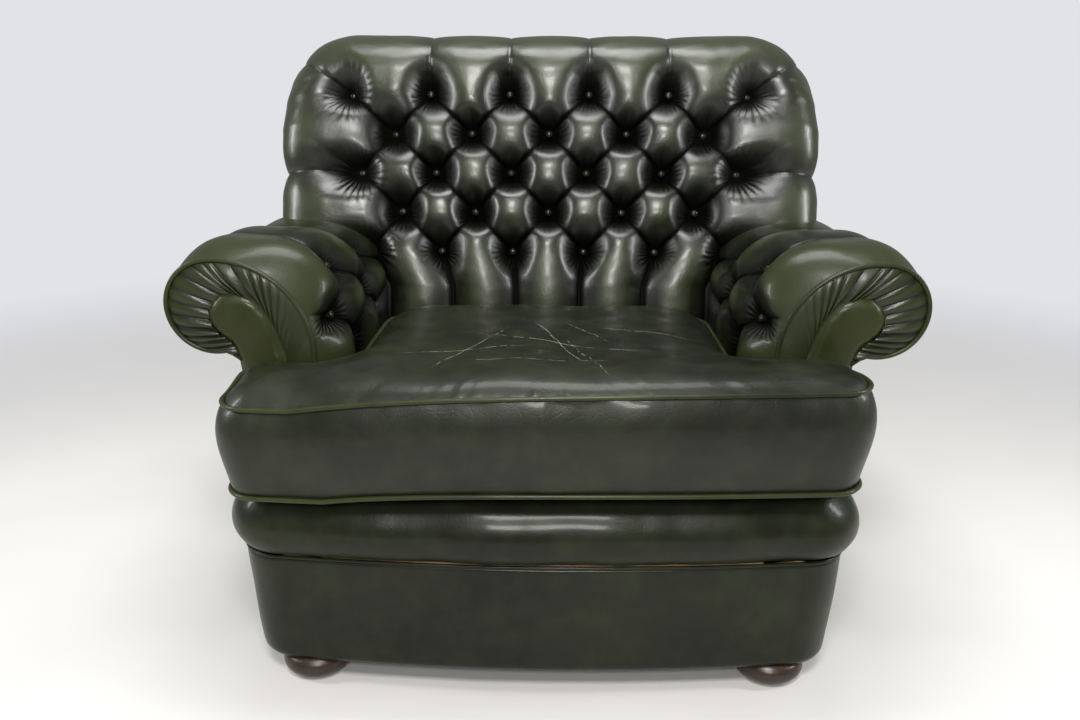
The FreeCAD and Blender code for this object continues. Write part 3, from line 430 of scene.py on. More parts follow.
def walled(front, rim, faces):
    """A sheet with a wall from its edge, which is its first points, back to a rim."""
    here = np.arange(len(rim))
    after = (here + 1) % len(rim)
    start = len(front)
    wall = np.concatenate([stack(after, start + after, start + here),
                           stack(here, after, start + here)])
    return np.concatenate([front, rim]), np.concatenate([faces, wall])


# Materials

class Recipe:
    """Short words for building one material's nodes."""

    def __init__(self, name):
        self.material = bpy.data.materials.new(name)
        self.material.use_nodes = True
        self.tree = self.material.node_tree
        self.shader = self.tree.nodes["Principled BSDF"]
        self.place = self.node("ShaderNodeTexCoord").outputs["Object"]

    def feed(self, target, value):
        """Gives an input a link, a number or a colour; None leaves it as it is."""
        if hasattr(value, "links"):
            self.tree.links.new(value, target)
        elif value is not None:
            plain = target.type == "RGBA" and len(value) == 3
            target.default_value = (*value, 1.0) if plain else value

    def node(self, kind, inputs=(), **settings):
        """A node with its settings and with what its inputs are given."""
        made = self.tree.nodes.new(kind)
        for key, value in settings.items():
            setattr(made, key, value)
        for key, value in dict(inputs).items():
            self.feed(made.inputs[key], value)
        return made

    def noise(self, scale, detail=3.0, rough=0.55, at=None, output="Fac"):
        inputs = {"Vector": at or self.place, "Scale": scale, "Detail": detail, "Roughness": rough}
        return self.node("ShaderNodeTexNoise", inputs).outputs[output]

    def cells(self, scale, feature="F1", at=None):
        inputs = {"Vector": at or self.place, "Scale": scale}
        return self.node("ShaderNodeTexVoronoi", inputs, feature=feature).outputs["Distance"]

    def stretched(self, scale):
        inputs = {"Vector": self.place, "Scale": scale}
        return self.node("ShaderNodeMapping", inputs).outputs["Vector"]

    def attribute(self, name, output):
        return self.node("ShaderNodeAttribute", attribute_name=name).outputs[output]

    def split(self, vector):
        return self.node("ShaderNodeSeparateXYZ", {0: vector}).outputs

    def ramp(self, value, low, high, out_low=0.0, out_high=1.0):
        inputs = {"Value": value, "From Min": low, "From Max": high,
                  "To Min": out_low, "To Max": out_high}
        made = self.node("ShaderNodeMapRange", inputs, interpolation_type="SMOOTHSTEP")
        return made.outputs["Result"]

    def math(self, kind, a, b=None):
        return self.node("ShaderNodeMath", {0: a, 1: b}, operation=kind).outputs[0]

    def times(self, a, b):
        return self.math("MULTIPLY", a, b)

    def blend(self, share, a, b):
        """Colour a, with b over it in that share; either may be a colour or a socket."""
        return self.node("ShaderNodeMix", {0: share, 6: a, 7: b}, data_type="RGBA").outputs[2]

    def bump(self, height, strength, distance, below=None):
        inputs = {"Height": height, "Strength": strength, "Distance": distance, "Normal": below}
        return self.node("ShaderNodeBump", inputs).outputs["Normal"]

    def finish(self, colour, rough, normal=None, **numbers):
        inputs = {"Base_Color": colour, "Roughness": rough, "Normal": normal, **numbers}
        for name, value in inputs.items():
            self.feed(self.shader.inputs[name.replace("_", " ")], value)
        return self.material


def radial_wrinkles(r):
    """Height of the fine wrinkles that fan out round each button, strongest below it."""
    across, up, away = r.split(r.attribute("pull", "Vector"))
    turn = r.math("ARCTAN2", across, r.times(up, -1.0))
    wave = r.math("SINE", r.math("ADD", r.times(turn, WRINKLES), r.times(r.noise(22.0, 2.0), 9.0)))
    below = r.ramp(r.math("COSINE", turn), -1.0, 1.0, 0.3, 1.0)
    ring = r.times(r.ramp(away, 0.006, 0.012), r.ramp(away, 0.016, 0.044, 1.0, 0.0))
    return r.times(wave, r.times(ring, below))


def leather(name, tones, gloss=0.34, shine=SHINE, tufted=False, scratches=()):
    """Antiqued hide: mottled colour, fine grain and soft creases; tufted hide also gets painted
    shade in its folds and a paler tone on its crowns, partly wear and partly painted highlight.
    """
    dark, mid, worn_and_lit = tones
    r = Recipe(name)
    cloud = r.ramp(r.noise(3.5, 4.0), 0.30, 0.75)
    mottle = r.ramp(r.noise(26.0, 5.0, 0.6), 0.38, 0.70)
    colour = r.blend(r.times(mottle, 0.22), r.blend(cloud, dark, mid), worn_and_lit)
    wander = r.node("ShaderNodeVectorMath", {0: r.noise(14.0, 2.0, 0.5, output="Color"),
                                             1: (0.02, 0.02, 0.02), 2: r.place},
                    operation="MULTIPLY_ADD")
    creases = r.ramp(r.cells(55.0, "DISTANCE_TO_EDGE", wander.outputs[0]), 0.0, 0.09)
    normal = r.bump(r.noise(38.0, 4.0), 0.06, 0.003)
    normal = r.bump(creases, 0.07, 0.0010, normal)
    rough = r.ramp(r.noise(11.0, 5.0), 0.3, 0.7, gloss - 0.04, gloss + 0.08)
    coat = COAT
    if tufted:
        # The fold attribute is the share of painted shade, 0 on the crowns and 1 deep in the folds.
        deep = r.attribute("fold", "Fac")
        # Pillow crowns, where that share is small, take the paler tone: partly rubbed wear, partly
        # a painted highlight.
        colour = r.blend(r.ramp(deep, 0.0, 0.20, 0.55, 0.0), colour, worn_and_lit)
        # Deeper in the folds the colour goes nearly black: mostly painted shade in the creases and
        # round the buttons, with some of the antiqued finish's darker hollows.
        colour = r.blend(r.ramp(deep, 0.15, 0.72, 0.0, 0.94), colour,
                         tuple(0.2 * c for c in dark))
        rough = r.math("ADD", rough, r.ramp(deep, 0.60, 0.95, 0.0, 0.35))
        # Shine and coat fade out deep in the folds as well, so no reflection breaks the painted
        # shade there.
        shine = r.ramp(deep, 0.40, 0.92, shine, 0.03)
        coat = r.ramp(deep, 0.45, 0.85, COAT, 0.0)
        normal = r.bump(radial_wrinkles(r), 0.55, 0.0014, normal)
    normal = r.bump(r.cells(620.0), 0.20, 0.0006, normal)
    normal = r.bump(r.noise(1500.0, 2.0), 0.08, 0.0003, normal)
    if scratches:
        marks = scratch_marks(r, scratches)
        colour = r.blend(r.times(marks, 0.9), colour, SCRATCHED)
        rough = r.math("ADD", rough, r.times(marks, 0.2))
    return r.finish(colour, rough, normal, IOR=1.48, Coat_Roughness=0.14,
                    Specular_IOR_Level=shine, Coat_Weight=coat)


def scratch_marks(r, scratches):
    """Share of bare scratch at a place: thin, broken lines between pairs of plan points."""
    x, y, _ = r.split(r.place)
    wobble = r.times(r.math("SUBTRACT", r.noise(30.0, 2.0), 0.5), 0.010)
    total = 0.0
    for (x0, y0), (x1, y1), width in scratches:
        length = math.hypot(x1 - x0, y1 - y0)
        ux, uy = (x1 - x0) / length, (y1 - y0) / length
        from_x, from_y = r.math("SUBTRACT", x, x0), r.math("SUBTRACT", y, y0)
        run = r.math("ADD", r.times(from_x, ux), r.times(from_y, uy))
        off = r.math("SUBTRACT", r.times(from_x, uy), r.times(from_y, ux))
        line = r.ramp(r.math("ABSOLUTE", r.math("ADD", off, wobble)), width * 0.4, width, 1.0, 0.0)
        ends = r.times(r.ramp(run, 0.0, length * 0.15), r.ramp(run, length * 0.8, length, 1.0, 0.0))
        total = r.math("MAXIMUM", total, r.times(line, ends))
    return r.times(total, r.ramp(r.noise(90.0, 3.0), 0.38, 0.55))


def timber(name, pale, dark, gloss, along=(1.0, 12.0, 12.0)):
    """Wood with a stretched grain."""
    r = Recipe(name)
    streaks = r.noise(9.0, 8.0, 0.7, r.stretched(along))
    colour = r.blend(r.ramp(streaks, 0.3, 0.7), pale, dark)
    pores = r.noise(60.0, 3.0, 0.6, r.stretched(along))
    normal = r.bump(pores, 0.15, 0.0006)
    rough = r.ramp(streaks, 0.3, 0.7, gloss, gloss + 0.12)
    return r.finish(colour, rough, normal)


def cloth(name, thread, gap, pitch):
    """Plain weave with threads about pitch apart."""
    r = Recipe(name)
    x, y, z = r.split(r.place)
    ways = [r.math("ABSOLUTE", r.math("SINE", r.times(way, math.pi / pitch)))
            for way in (x, r.math("ADD", y, z))]
    weave = r.math("MAXIMUM", *ways)
    colour = r.blend(r.ramp(weave, 0.5, 1.0), gap, thread)
    colour = r.blend(r.times(r.noise(240.0, 4.0), 0.4), colour, tuple(1.4 * c for c in thread))
    return r.finish(colour, 0.85, r.bump(weave, 0.4, pitch / 4))


def metal(name, colour, rough):
    """Drawn or cast metal with faint streaks."""
    r = Recipe(name)
    streaks = r.noise(160.0, 4.0, 0.6, r.stretched((1.0, 1.0, 9.0)))
    tone = r.blend(r.times(streaks, 0.35), colour, tuple(0.5 * c for c in colour))
    return r.finish(tone, r.ramp(streaks, 0.3, 0.7, rough, rough + 0.15),
                    r.bump(streaks, 0.08, 0.0004), Metallic=1.0)


# Tufting

def tuft(i, j, pleats):
    """How far the leather is drawn in, 0 on a pillow's crown to 1 at a button,
    and how far the fold's upper lip hangs over it, from 0 to 1."""
    clear = np.ones_like(i)
    lip = np.zeros_like(i)
    for (i0, j0), (i1, j1), start, middle, end, inner, outer in pleats:
        run_i, run_j = i1 - i0, j1 - j0
        span = run_i * run_i + run_j * run_j
        along = np.clip(((i - i0) * run_i + (j - j0) * run_j) / span, 0.0, 1.0)
        off_i, off_j = i - i0 - along * run_i, j - j0 - along * run_j
        away = np.hypot(off_i, off_j)
        turned = (off_i * run_j - off_j * run_i) / math.sqrt(span) / np.maximum(away, 1e-9)
        if run_j * (i0 + i1) < 0:
            turned = -turned
        reach = inner + (outer - inner) * (0.5 + 0.5 * turned)
        near = np.clip(1 - away / reach, 0.0, 1.0)
        far = np.where(along < 0.5, start, end)
        fold = middle + (far - middle) * (2 * along - 1) ** 2
        clear *= 1 - fold * (ROUND * near ** 2 + (1 - ROUND) * (1 - np.sqrt(1 - near ** 2)))
        if run_i and run_j:
            hang = np.sin(math.pi * near ** 4) * (1 - (2 * along - 1) ** 4)
            lip = np.maximum(lip, np.where(off_j < 0, hang, 0.0))
    return 1 - clear, lip


def pleat(start, end, depths, inner, outer=None):
    """A fold between two lattice places: its depths, and its reach on either side."""
    return (start, end, *depths, inner, inner if outer is None else outer)


def painted_shade_pleats(pleats):
    """The same pleats with their middles deepened, for the painted shade along the pleat valleys.
    """
    return [(start, end, first, max(middle, SHADE_VALLEY * (middle > 0.4)), last, inner, outer)
            for start, end, first, middle, last, inner, outer in pleats]


def pull_from(across, up, spots, easy):
    """Offset and distance of each point from its nearest button, less for the easy ones."""
    away = np.stack([np.hypot(across - x, up - z) for x, z in spots])
    nearest = away.argmin(0)
    at = np.array(spots)[nearest]
    offset = stack(across - at[:, 0], up - at[:, 1], away.min(0))
    return offset * np.asarray(easy)[nearest][:, None]


def spots_of(place, buttons):
    """Where buttons lie, as the two distances that a lattice's place gives."""
    return [tuple(float(v) for v in place(np.array(float(a)), np.array(float(b))))
            for a, b in buttons]


def stud_axis(surface, spot, depth, sunk_in=0.0):
    """Foot and crown of the button at a spot of a padded surface."""
    at = [np.array([distance]) for distance in spot]
    return surface(*at, depth + sunk_in)[0], surface(*at, sunk_in)[0]


def pleated(quads, i, j, odd):
    """Triangles from a lattice's quads, cut along the diagonal that the pleats take."""
    corner = quads[:, 0]
    cell = (np.floor(i[corner] + 1e-6) + np.floor(j[corner] + 1e-6)).astype(int)
    return cut_quads(quads, cell % 2 == odd)


def puckers(across, up, buttons, seed):
    """Short gathers that fan out round each button, strongest below it, in metres."""
    rng = np.random.RandomState(seed)
    total = np.zeros_like(across)
    for x, z in buttons:
        away = np.hypot(across - x, up - z)
        close = away < 0.05
        turn = np.arctan2(across[close] - x, -(up[close] - z))
        r = away[close]
        below = 0.55 + 0.45 * np.cos(turn)
        phase = rng.uniform(0, 2 * math.pi)
        ring = np.exp(-((r - PUCKER_FROM) / PUCKER_WIDTH) ** 2)
        long_ring = np.exp(-((r - 2 * PUCKER_FROM) / (1.6 * PUCKER_WIDTH)) ** 2)
        wave = 0.5 - 0.5 * np.cos(PUCKERS * turn + phase)
        slow = 0.5 - 0.5 * np.cos((PUCKERS - 4) * turn + 1.7 * phase)
        total[close] += PUCKER * below * (ring * wave + 0.45 * long_ring * slow)
    return total


# Back

def back_lattice():
    """Buttons and pleats of the back: rows 1 at the top to 5, columns either side of 0."""
    buttons = [(i, j) for j in range(1, 6) for i in range(-5, 6) if (i + j) % 2 == 0]
    pleats = []
    for i, j in buttons:
        for side in (-1, 1):
            if abs(i + side) <= 5 and j < 5:
                outer = BOLSTER_REACH if max(abs(i), abs(i + side)) == 5 else PILLOW_REACH
                pleats.append(pleat((i, j), (i + side, j + 1), (1.0, 0.5, 1.0),
                                    PILLOW_REACH, outer))
    for i in (-3, -1, 1, 3):
        pleats.append(pleat((i, 1), (i, -1.2), (1.0, 0.15, 0.0), FLUTE_REACH))
    for i in (-5, -3, -1, 1, 3, 5):
        pleats.append(pleat((i, 5), (i, 8), (1.0, 0.6, 0.5), FLUTE_REACH))
    for side in (-1, 1):
        pleats.append(pleat((5 * side, 1), (7.0 * side, -0.6), (1.0, 0.2, 0.0), PILLOW_REACH))
        pleats.append(pleat((5 * side, 3), (7.2 * side, 3), (1.0, 0.25, 0.1), PILLOW_REACH))
        pleats.append(pleat((5 * side, 5), (7.2 * side, 5), (1.0, 0.25, 0.0), PILLOW_REACH))
    return buttons, pleats


def lean_point(up, deep):
    """Depth and height on the back's middle plane: up along its crown, deep into it."""
    half_arc = BACK_BEND_R * BACK_LEAN / 2
    tilt = np.clip((up + half_arc) / BACK_BEND_R, 0.0, BACK_LEAN)
    extra = np.maximum(up - half_arc, 0.0)
    below = np.minimum(up + half_arc, 0.0)
    radius = BACK_BEND_R - deep
    y = BACK_FRONT + BACK_BEND_R - radius * np.cos(tilt) + extra * math.sin(BACK_LEAN)
    z = BACK_BEND_Z - BACK_BEND_R * math.tan(BACK_LEAN / 2)
    return y, z + radius * np.sin(tilt) + extra * math.cos(BACK_LEAN) + below


def rear_y(z):
    """Depth of the outside back's plane at a height."""
    return REAR_LOW + REAR_SLOPE * (z - REAR_LOW_Z)


def back_half_thickness(up):
    y, z = lean_point(up, 0.0)
    fall = math.cos(BACK_LEAN) + REAR_SLOPE * math.sin(BACK_LEAN)
    return (rear_y(z) - y) / fall / (1 - math.cos(BACK_WRAP))


def back_point(across, up, depth):
    """Points of the back at a depth under its crown, wrapped round its sides and top."""
    over_side = np.maximum(np.abs(across) - BACK_FLAT_HALF + BACK_CORNER_R, 0.0)
    over_top = np.maximum(up - BACK_FLAT_TOP + BACK_CORNER_R, 0.0)
    reach = np.maximum(over_side, over_top)
    lean = math.pi / 4 * np.minimum(over_side, over_top) / np.maximum(reach, 1e-9)
    heading = np.where(over_side >= over_top, lean, math.pi / 2 - lean)
    flat = np.minimum(reach, BACK_CORNER_R)
    wrap = np.maximum(reach - BACK_CORNER_R, 0.0) / BACK_ROLL_ARC
    out = (BACK_ROLL_R - depth) * np.sin(wrap)
    level = np.minimum(up, BACK_FLAT_TOP - BACK_CORNER_R) + flat * np.sin(heading)
    half = back_half_thickness(level)
    x = np.minimum(np.abs(across), BACK_FLAT_HALF - BACK_CORNER_R) + (flat + out) * np.cos(heading)
    y, z = lean_point(level + out * np.sin(heading), half - (half - depth) * np.cos(wrap))
    return stack(np.copysign(x, across), y, z)


def back_place(i, j):
    """Distances across and up of a lattice place."""
    row = BACK_COLUMN_TOP - BACK_COLUMN_TAPER * (np.maximum(j, 1) - 1)
    low = BACK_COLUMN_TOP - 4 * BACK_COLUMN_TAPER
    flute = np.maximum(low - BACK_FLUTE_TAPER * (j - 5), BACK_COLUMN_LOW)
    step = np.where(j <= 5, row, flute)
    rim = BACK_FLAT_HALF + BACK_ROLL_ARC * BACK_WRAP
    across = np.minimum(np.abs(i), 5) * step
    across += np.maximum(np.abs(i) - 5, 0) * (rim - 5 * step) / 3
    top_row = BACK_ROW_5 + 4 * BACK_ROW_STEP
    top = BACK_FLAT_TOP + BACK_ROLL_ARC * BACK_WRAP
    floor = BACK_LOW - BACK_BEND_Z
    up = BACK_ROW_5 + (5 - j) * BACK_ROW_STEP
    up = np.where(j < 1, top_row + (1 - j) * (top - top_row) / 3, up)
    up = np.where(j > 5, BACK_ROW_5 + (j - 5) * (floor - BACK_ROW_5) / 3, up)
    return np.copysign(across, i), up


def sunk(z, share):
    """Heights on an arm's roll once the roll has sunk by a share."""
    rise = ARM_SHOULDER_Z + ARM_SHOULDER_R - FALL_FROM_Z
    return z - ARM_FALL * share * np.maximum(z - FALL_FROM_Z, 0.0) / rise


def inside_arm(points):
    """How deep points lie inside an arm's section, in metres, whichever side they are on."""
    x, z = np.abs(points[:, 0]), points[:, 2]
    rise = ARM_SHOULDER_Z + ARM_SHOULDER_R - FALL_FROM_Z
    z = z + ARM_FALL / (rise - ARM_FALL) * np.maximum(z - FALL_FROM_Z, 0.0)
    shoulder = ARM_SHOULDER_R - np.hypot(x - ARM_SHOULDER_X, z - ARM_SHOULDER_Z)
    depth = np.where(z <= ARM_SHOULDER_Z, x - ARM_INSIDE, shoulder)
    top = ARM_SHOULDER_Z + ARM_SHOULDER_R - z
    scroll = SCROLL_R - np.hypot(x - SCROLL_X, z - SCROLL_Z)
    depth = np.where((x > ARM_SHOULDER_X) & (z > ARM_SHOULDER_Z), top, depth)
    return np.where((x > SCROLL_X) & (z > SCROLL_Z), scroll, depth)


def make_back(hide, hide_button):
    """The whole inside back with its rolls, and its covered buttons."""
    buttons, pleats = back_lattice()
    columns = np.linspace(-8, 8, 16 * GRID + 1)
    rows = np.linspace(-2, 8, 10 * GRID + 1)
    j, i = [a.ravel() for a in np.meshgrid(rows, columns, indexing="ij")]
    share, lip = tuft(i, j, pleats)
    across, up = back_place(i, j)
    spots = spots_of(back_place, buttons)
    depth = BACK_TUFT * share + puckers(across, up, spots, 3) * (share > 0.05)
    flat = stack(across, up)
    depth += 0.0005 * ripples(flat, 0.16, 5) - 0.00015 * ripples(flat, 0.03, 6)
    wrap = np.clip((np.abs(across) - BACK_FLAT_HALF) / BACK_ROLL_ARC, 0.0, math.pi / 2)
    square = (np.cos(wrap) ** 4 + np.sin(wrap) ** 4) ** -0.25 - 1
    under_top = np.clip((BACK_FLAT_TOP - up) / BACK_ROLL_R, 0, 1)
    depth -= BACK_ROLL_R * square * (1 - share) * under_top
    points = back_point(across, up - FOLD_LIP * lip, depth)
    pull = pull_from(across, up, spots, [EDGE_PULL if abs(a) == 5 else 1.0 for a, b in buttons])
    quads = grid_faces(len(rows), len(columns))
    hidden = (inside_arm(points) > COVERED_DEEP) & (points[:, 1] > ARM_FRONT)
    faces = pleated(quads[~hidden[quads].all(1)], i, j, 0)
    # Painted shade: share of near-black colour along the pleat valleys and round the buttons
    shade = tuft(i, j, painted_shade_pleats(pleats))[0]
    piece = build("back_leather", points, faces, shade, pull)
    dress(piece, hide, "green_leather", "chair", "back_cover", "back_pad")
    feet = [stud_axis(back_point, spot, BACK_TUFT, EDGE_SUNK if abs(a) >= 4 and b <= 3 else 0.0)
            for (a, b), spot in zip(buttons, spots) if abs(a) < 5 or b < 5]
    studs = make_buttons("back_studs", feet)
    dress(studs, hide_button, "button_leather", "chair", "back_buttons")


def make_buttons(name, places):
    """Covered buttons: a dome pulled down into its dimple, with a tucked rim."""
    profile = [(0.0010, 0.0040), (0.0085, BUTTON_R * 0.97), (0.0098, BUTTON_R * 1.04),
               (0.0112, BUTTON_R * 0.95), (0.0122, BUTTON_R * 0.74), (0.0129, BUTTON_R * 0.45),
               (0.0132, BUTTON_R * 0.15)]
    sides = 18
    count = len(profile) * sides
    turns = np.linspace(0, 2 * math.pi, sides, endpoint=False)[:, None]
    points, faces = [], []
    for number, (foot, crown) in enumerate(places):
        axis = (crown - foot) / np.linalg.norm(crown - foot)
        side = np.cross(axis, (0.0, 0.0, 1.0))
        side /= np.linalg.norm(side)
        ring = np.cos(turns) * side + np.sin(turns) * np.cross(axis, side)
        points += [foot + axis * height + radius * ring for height, radius in profile]
        start = number * count
        faces += (grid_faces(len(profile), sides, True) + start).tolist()
        faces.append(list(range(start + count - sides, start + count)))
    return in_scene(name, smooth_mesh(name, np.concatenate(points).tolist(), faces))


# Arms

def rolled(travel, depth, inner, bend_x, bend_z, bend_r, flat, hub_x, hub_z, hub_r):
    """Points on an arm's section: up the inside, round the shoulder, round the scroll."""
    wall = bend_z - ARM_BASE
    bend = bend_r * math.pi / 2
    turn = math.pi - (travel - wall) / bend_r
    spin = math.pi / 2 - (travel - wall - bend - flat) / hub_r
    stages = [travel <= wall, travel <= wall + bend, travel <= wall + bend + flat]
    x = np.select(stages, [inner + depth, bend_x + (bend_r - depth) * np.cos(turn),
                           bend_x + travel - wall - bend],
                  hub_x + (hub_r - depth) * np.cos(spin))
    z = np.select(stages, [ARM_BASE + travel, bend_z + (bend_r - depth) * np.sin(turn),
                           bend_z + bend_r - depth],
                  hub_z + (hub_r - depth) * np.sin(spin))
    return x, z


def arm_length():
    around = ARM_SHOULDER_R * math.pi / 2 + SCROLL_R * SCROLL_END
    return ARM_SHOULDER_Z - ARM_BASE + SCROLL_X - ARM_SHOULDER_X + around


def arm_section(travel, depth):
    return rolled(travel, depth, ARM_INSIDE, ARM_SHOULDER_X, ARM_SHOULDER_Z, ARM_SHOULDER_R,
                  SCROLL_X - ARM_SHOULDER_X, SCROLL_X, SCROLL_Z, SCROLL_R)


def face_section(travel, depth):
    """The tighter section at the front seam."""
    full_wall = ARM_SHOULDER_Z - ARM_BASE
    full_bend = full_wall + ARM_SHOULDER_R * math.pi / 2 + SCROLL_X - ARM_SHOULDER_X
    wall = FACE_INNER_Z - ARM_BASE
    bend = FACE_INNER_R * math.pi / 2
    flat = FACE_SCROLL_X - FACE_INNER_X
    mine = np.select(
        [travel <= full_wall, travel <= full_bend],
        [travel * wall / full_wall,
         wall + (travel - full_wall) / (full_bend - full_wall) * bend],
        wall + bend + flat + (travel - full_bend) * FACE_SCROLL_R / SCROLL_R)
    return rolled(mine, depth, FACE_INNER_X - FACE_INNER_R, FACE_INNER_X, FACE_INNER_Z,
                  FACE_INNER_R, flat, FACE_SCROLL_X, FACE_SCROLL_Z, FACE_SCROLL_R)


def arm_place(i, j):
    """Distance towards the back and travel up and over of a lattice place."""
    top_row = ARM_ROW_C + 2 * ARM_ROW_STEP
    travel = ARM_ROW_C + j * ARM_ROW_STEP
    travel = np.where(j > 2, top_row + (j - 2) * (arm_length() - top_row) / 5, travel)
    return ARM_COLUMN_0 + i * ARM_COLUMN_STEP, np.maximum(travel, 0.0)


def arm_point(y, travel, depth):
    """Points of the right arm, swelling from its front seam to its full section."""
    x, z = arm_section(travel, depth)
    behind = np.clip((y - ARM_FRONT) / ARM_SWELL, 0.0, 1.0)
    full = 1 - (1 - behind) ** 2
    face_x, face_z = face_section(travel, depth)
    x = face_x + (x - face_x) * full
    z = face_z + (z - face_z) * full
    z = sunk(z, smoothstep((y - FALL_FRONT_Y) / (BACK_FRONT - FALL_FRONT_Y)))
    return stack(x, np.minimum(y, rear_y(z) - 0.005), z)


def arm_lattice():
    """Buttons and pleats of an arm: columns from the front, rows up from the seat."""
    buttons = [(i, j) for j in range(3) for i in range(6) if (i + j) % 2 == 1]
    pleats = []
    for i, j in buttons:
        for side in (-1, 1):
            if 0 <= i + side <= 5 and j < 2:
                pleats.append(pleat((i, j), (i + side, j + 1), (1.0, 0.5, 1.0), PILLOW_REACH))
    for i in (1, 3, 5):
        pleats.append(pleat((i, 2), (i, 6.0), (1.0, 0.25, 0.05), FLUTE_REACH))
        pleats.append(pleat((i, 0), (i, -1.6), (1.0, 0.5, 0.4), FLUTE_REACH))
    pleats.append(pleat((0, 1), (-0.45, 1.45), (1.0, 0.4, 0.1), PILLOW_REACH))
    return buttons, pleats


def make_arms(hide, hide_button):
    """Buttoned leather of both arms, from the seat over the scroll, and its buttons."""
    buttons, pleats = arm_lattice()
    first = (ARM_FRONT - ARM_COLUMN_0) / ARM_COLUMN_STEP
    columns = np.concatenate([np.linspace(first, 0, 15)[:-1], np.linspace(0, 5, 5 * GRID + 1),
                              np.linspace(5, 9, 40)[1:]])
    rows = np.concatenate([np.linspace(-ARM_ROW_C / ARM_ROW_STEP, 0, 40)[:-1],
                           np.linspace(0, 7, 7 * GRID + 1)])
    j, i = [a.ravel() for a in np.meshgrid(rows, columns, indexing="ij")]
    hung = [((a, -b), (c, -d), *rest) for (a, b), (c, d), *rest in pleats]
    y, travel = arm_place(i, j)
    spots = spots_of(arm_place, buttons)
    behind_seam = 1 - (1 - np.clip((y - ARM_FRONT) / ARM_SWELL, 0.0, 1.0)) ** 4
    share, lip = tuft(i, -j, hung)
    share = share * behind_seam
    # Painted shade: share of near-black colour along the pleat valleys and round the buttons, none
    # at the front seam
    shade = tuft(i, -j, painted_shade_pleats(hung))[0] * behind_seam
    depth = ARM_TUFT * share + puckers(y, travel, spots, 8) * (share > 0.05)
    depth += 0.0006 * ripples(stack(y, travel), 0.14, 15)
    points = arm_point(y, travel - FOLD_LIP * lip, depth)
    pull = pull_from(y, travel, spots, [1.0] * len(spots))
    quads = grid_faces(len(rows), len(columns))
    hidden = (points[:, 1] > COVERED_BEHIND) & (points[:, 0] < COVERED_WITHIN)
    faces = pleated(quads[~hidden[quads].all(1)], i, j, 1)[:, ::-1]
    for piece in both_sides("arm_leather", points, faces, hide, "green_leather",
                            ("arm_cover", "arm_pad"), shade, pull):
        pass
    feet = [stud_axis(arm_point, spot, ARM_TUFT)
            for (a, b), spot in zip(buttons, spots) if a < 4]
    for side, sign in (("right", 1.0), ("left", -1.0)):
        turned = [(foot * (sign, 1, 1), crown * (sign, 1, 1)) for foot, crown in feet]
        studs = make_buttons(side + "_arm_studs", turned)
        dress(studs, hide_button, "button_leather", "chair", side + "_arm_buttons")


def piping_path(shrink, start):
    """Front outline of the right arm, drawn in by shrink, from the neck to the seat."""
    r = FACE_SCROLL_R - shrink
    big = FACE_INNER_R - shrink
    return trace(arc(FACE_SCROLL_X, FACE_SCROLL_Z, r, start, 90),
                 arc(FACE_INNER_X, FACE_INNER_Z, big, 90, 180),
                 (FACE_INNER_X - big, ARM_BASE))


def facing_path(grow):
    """Edge of the plain facing from the outer neck over its round head to the seat."""
    r = FACING_R + grow
    return trace((0.460 + grow, 0.462), (0.4625 + grow, 0.475),
                 arc(FACING_X, FACING_Z, r, -76, 100),
                 (0.4350 - grow, 0.5630 + grow), (0.4170 - grow, 0.5480 + grow / 2),
                 (0.4065 - grow, 0.5310), (0.3990 - grow, 0.5100), (0.3925 - grow, 0.4880),
                 (0.3860 - grow, 0.4660), (0.3730 - grow, ARM_BASE))


def smooth(path, passes):
    """Rounds a path's corners, its ends kept."""
    path = path.copy()
    for _ in range(passes):
        path[1:-1] = 0.25 * path[:-2] + 0.5 * path[1:-1] + 0.25 * path[2:]
    return path


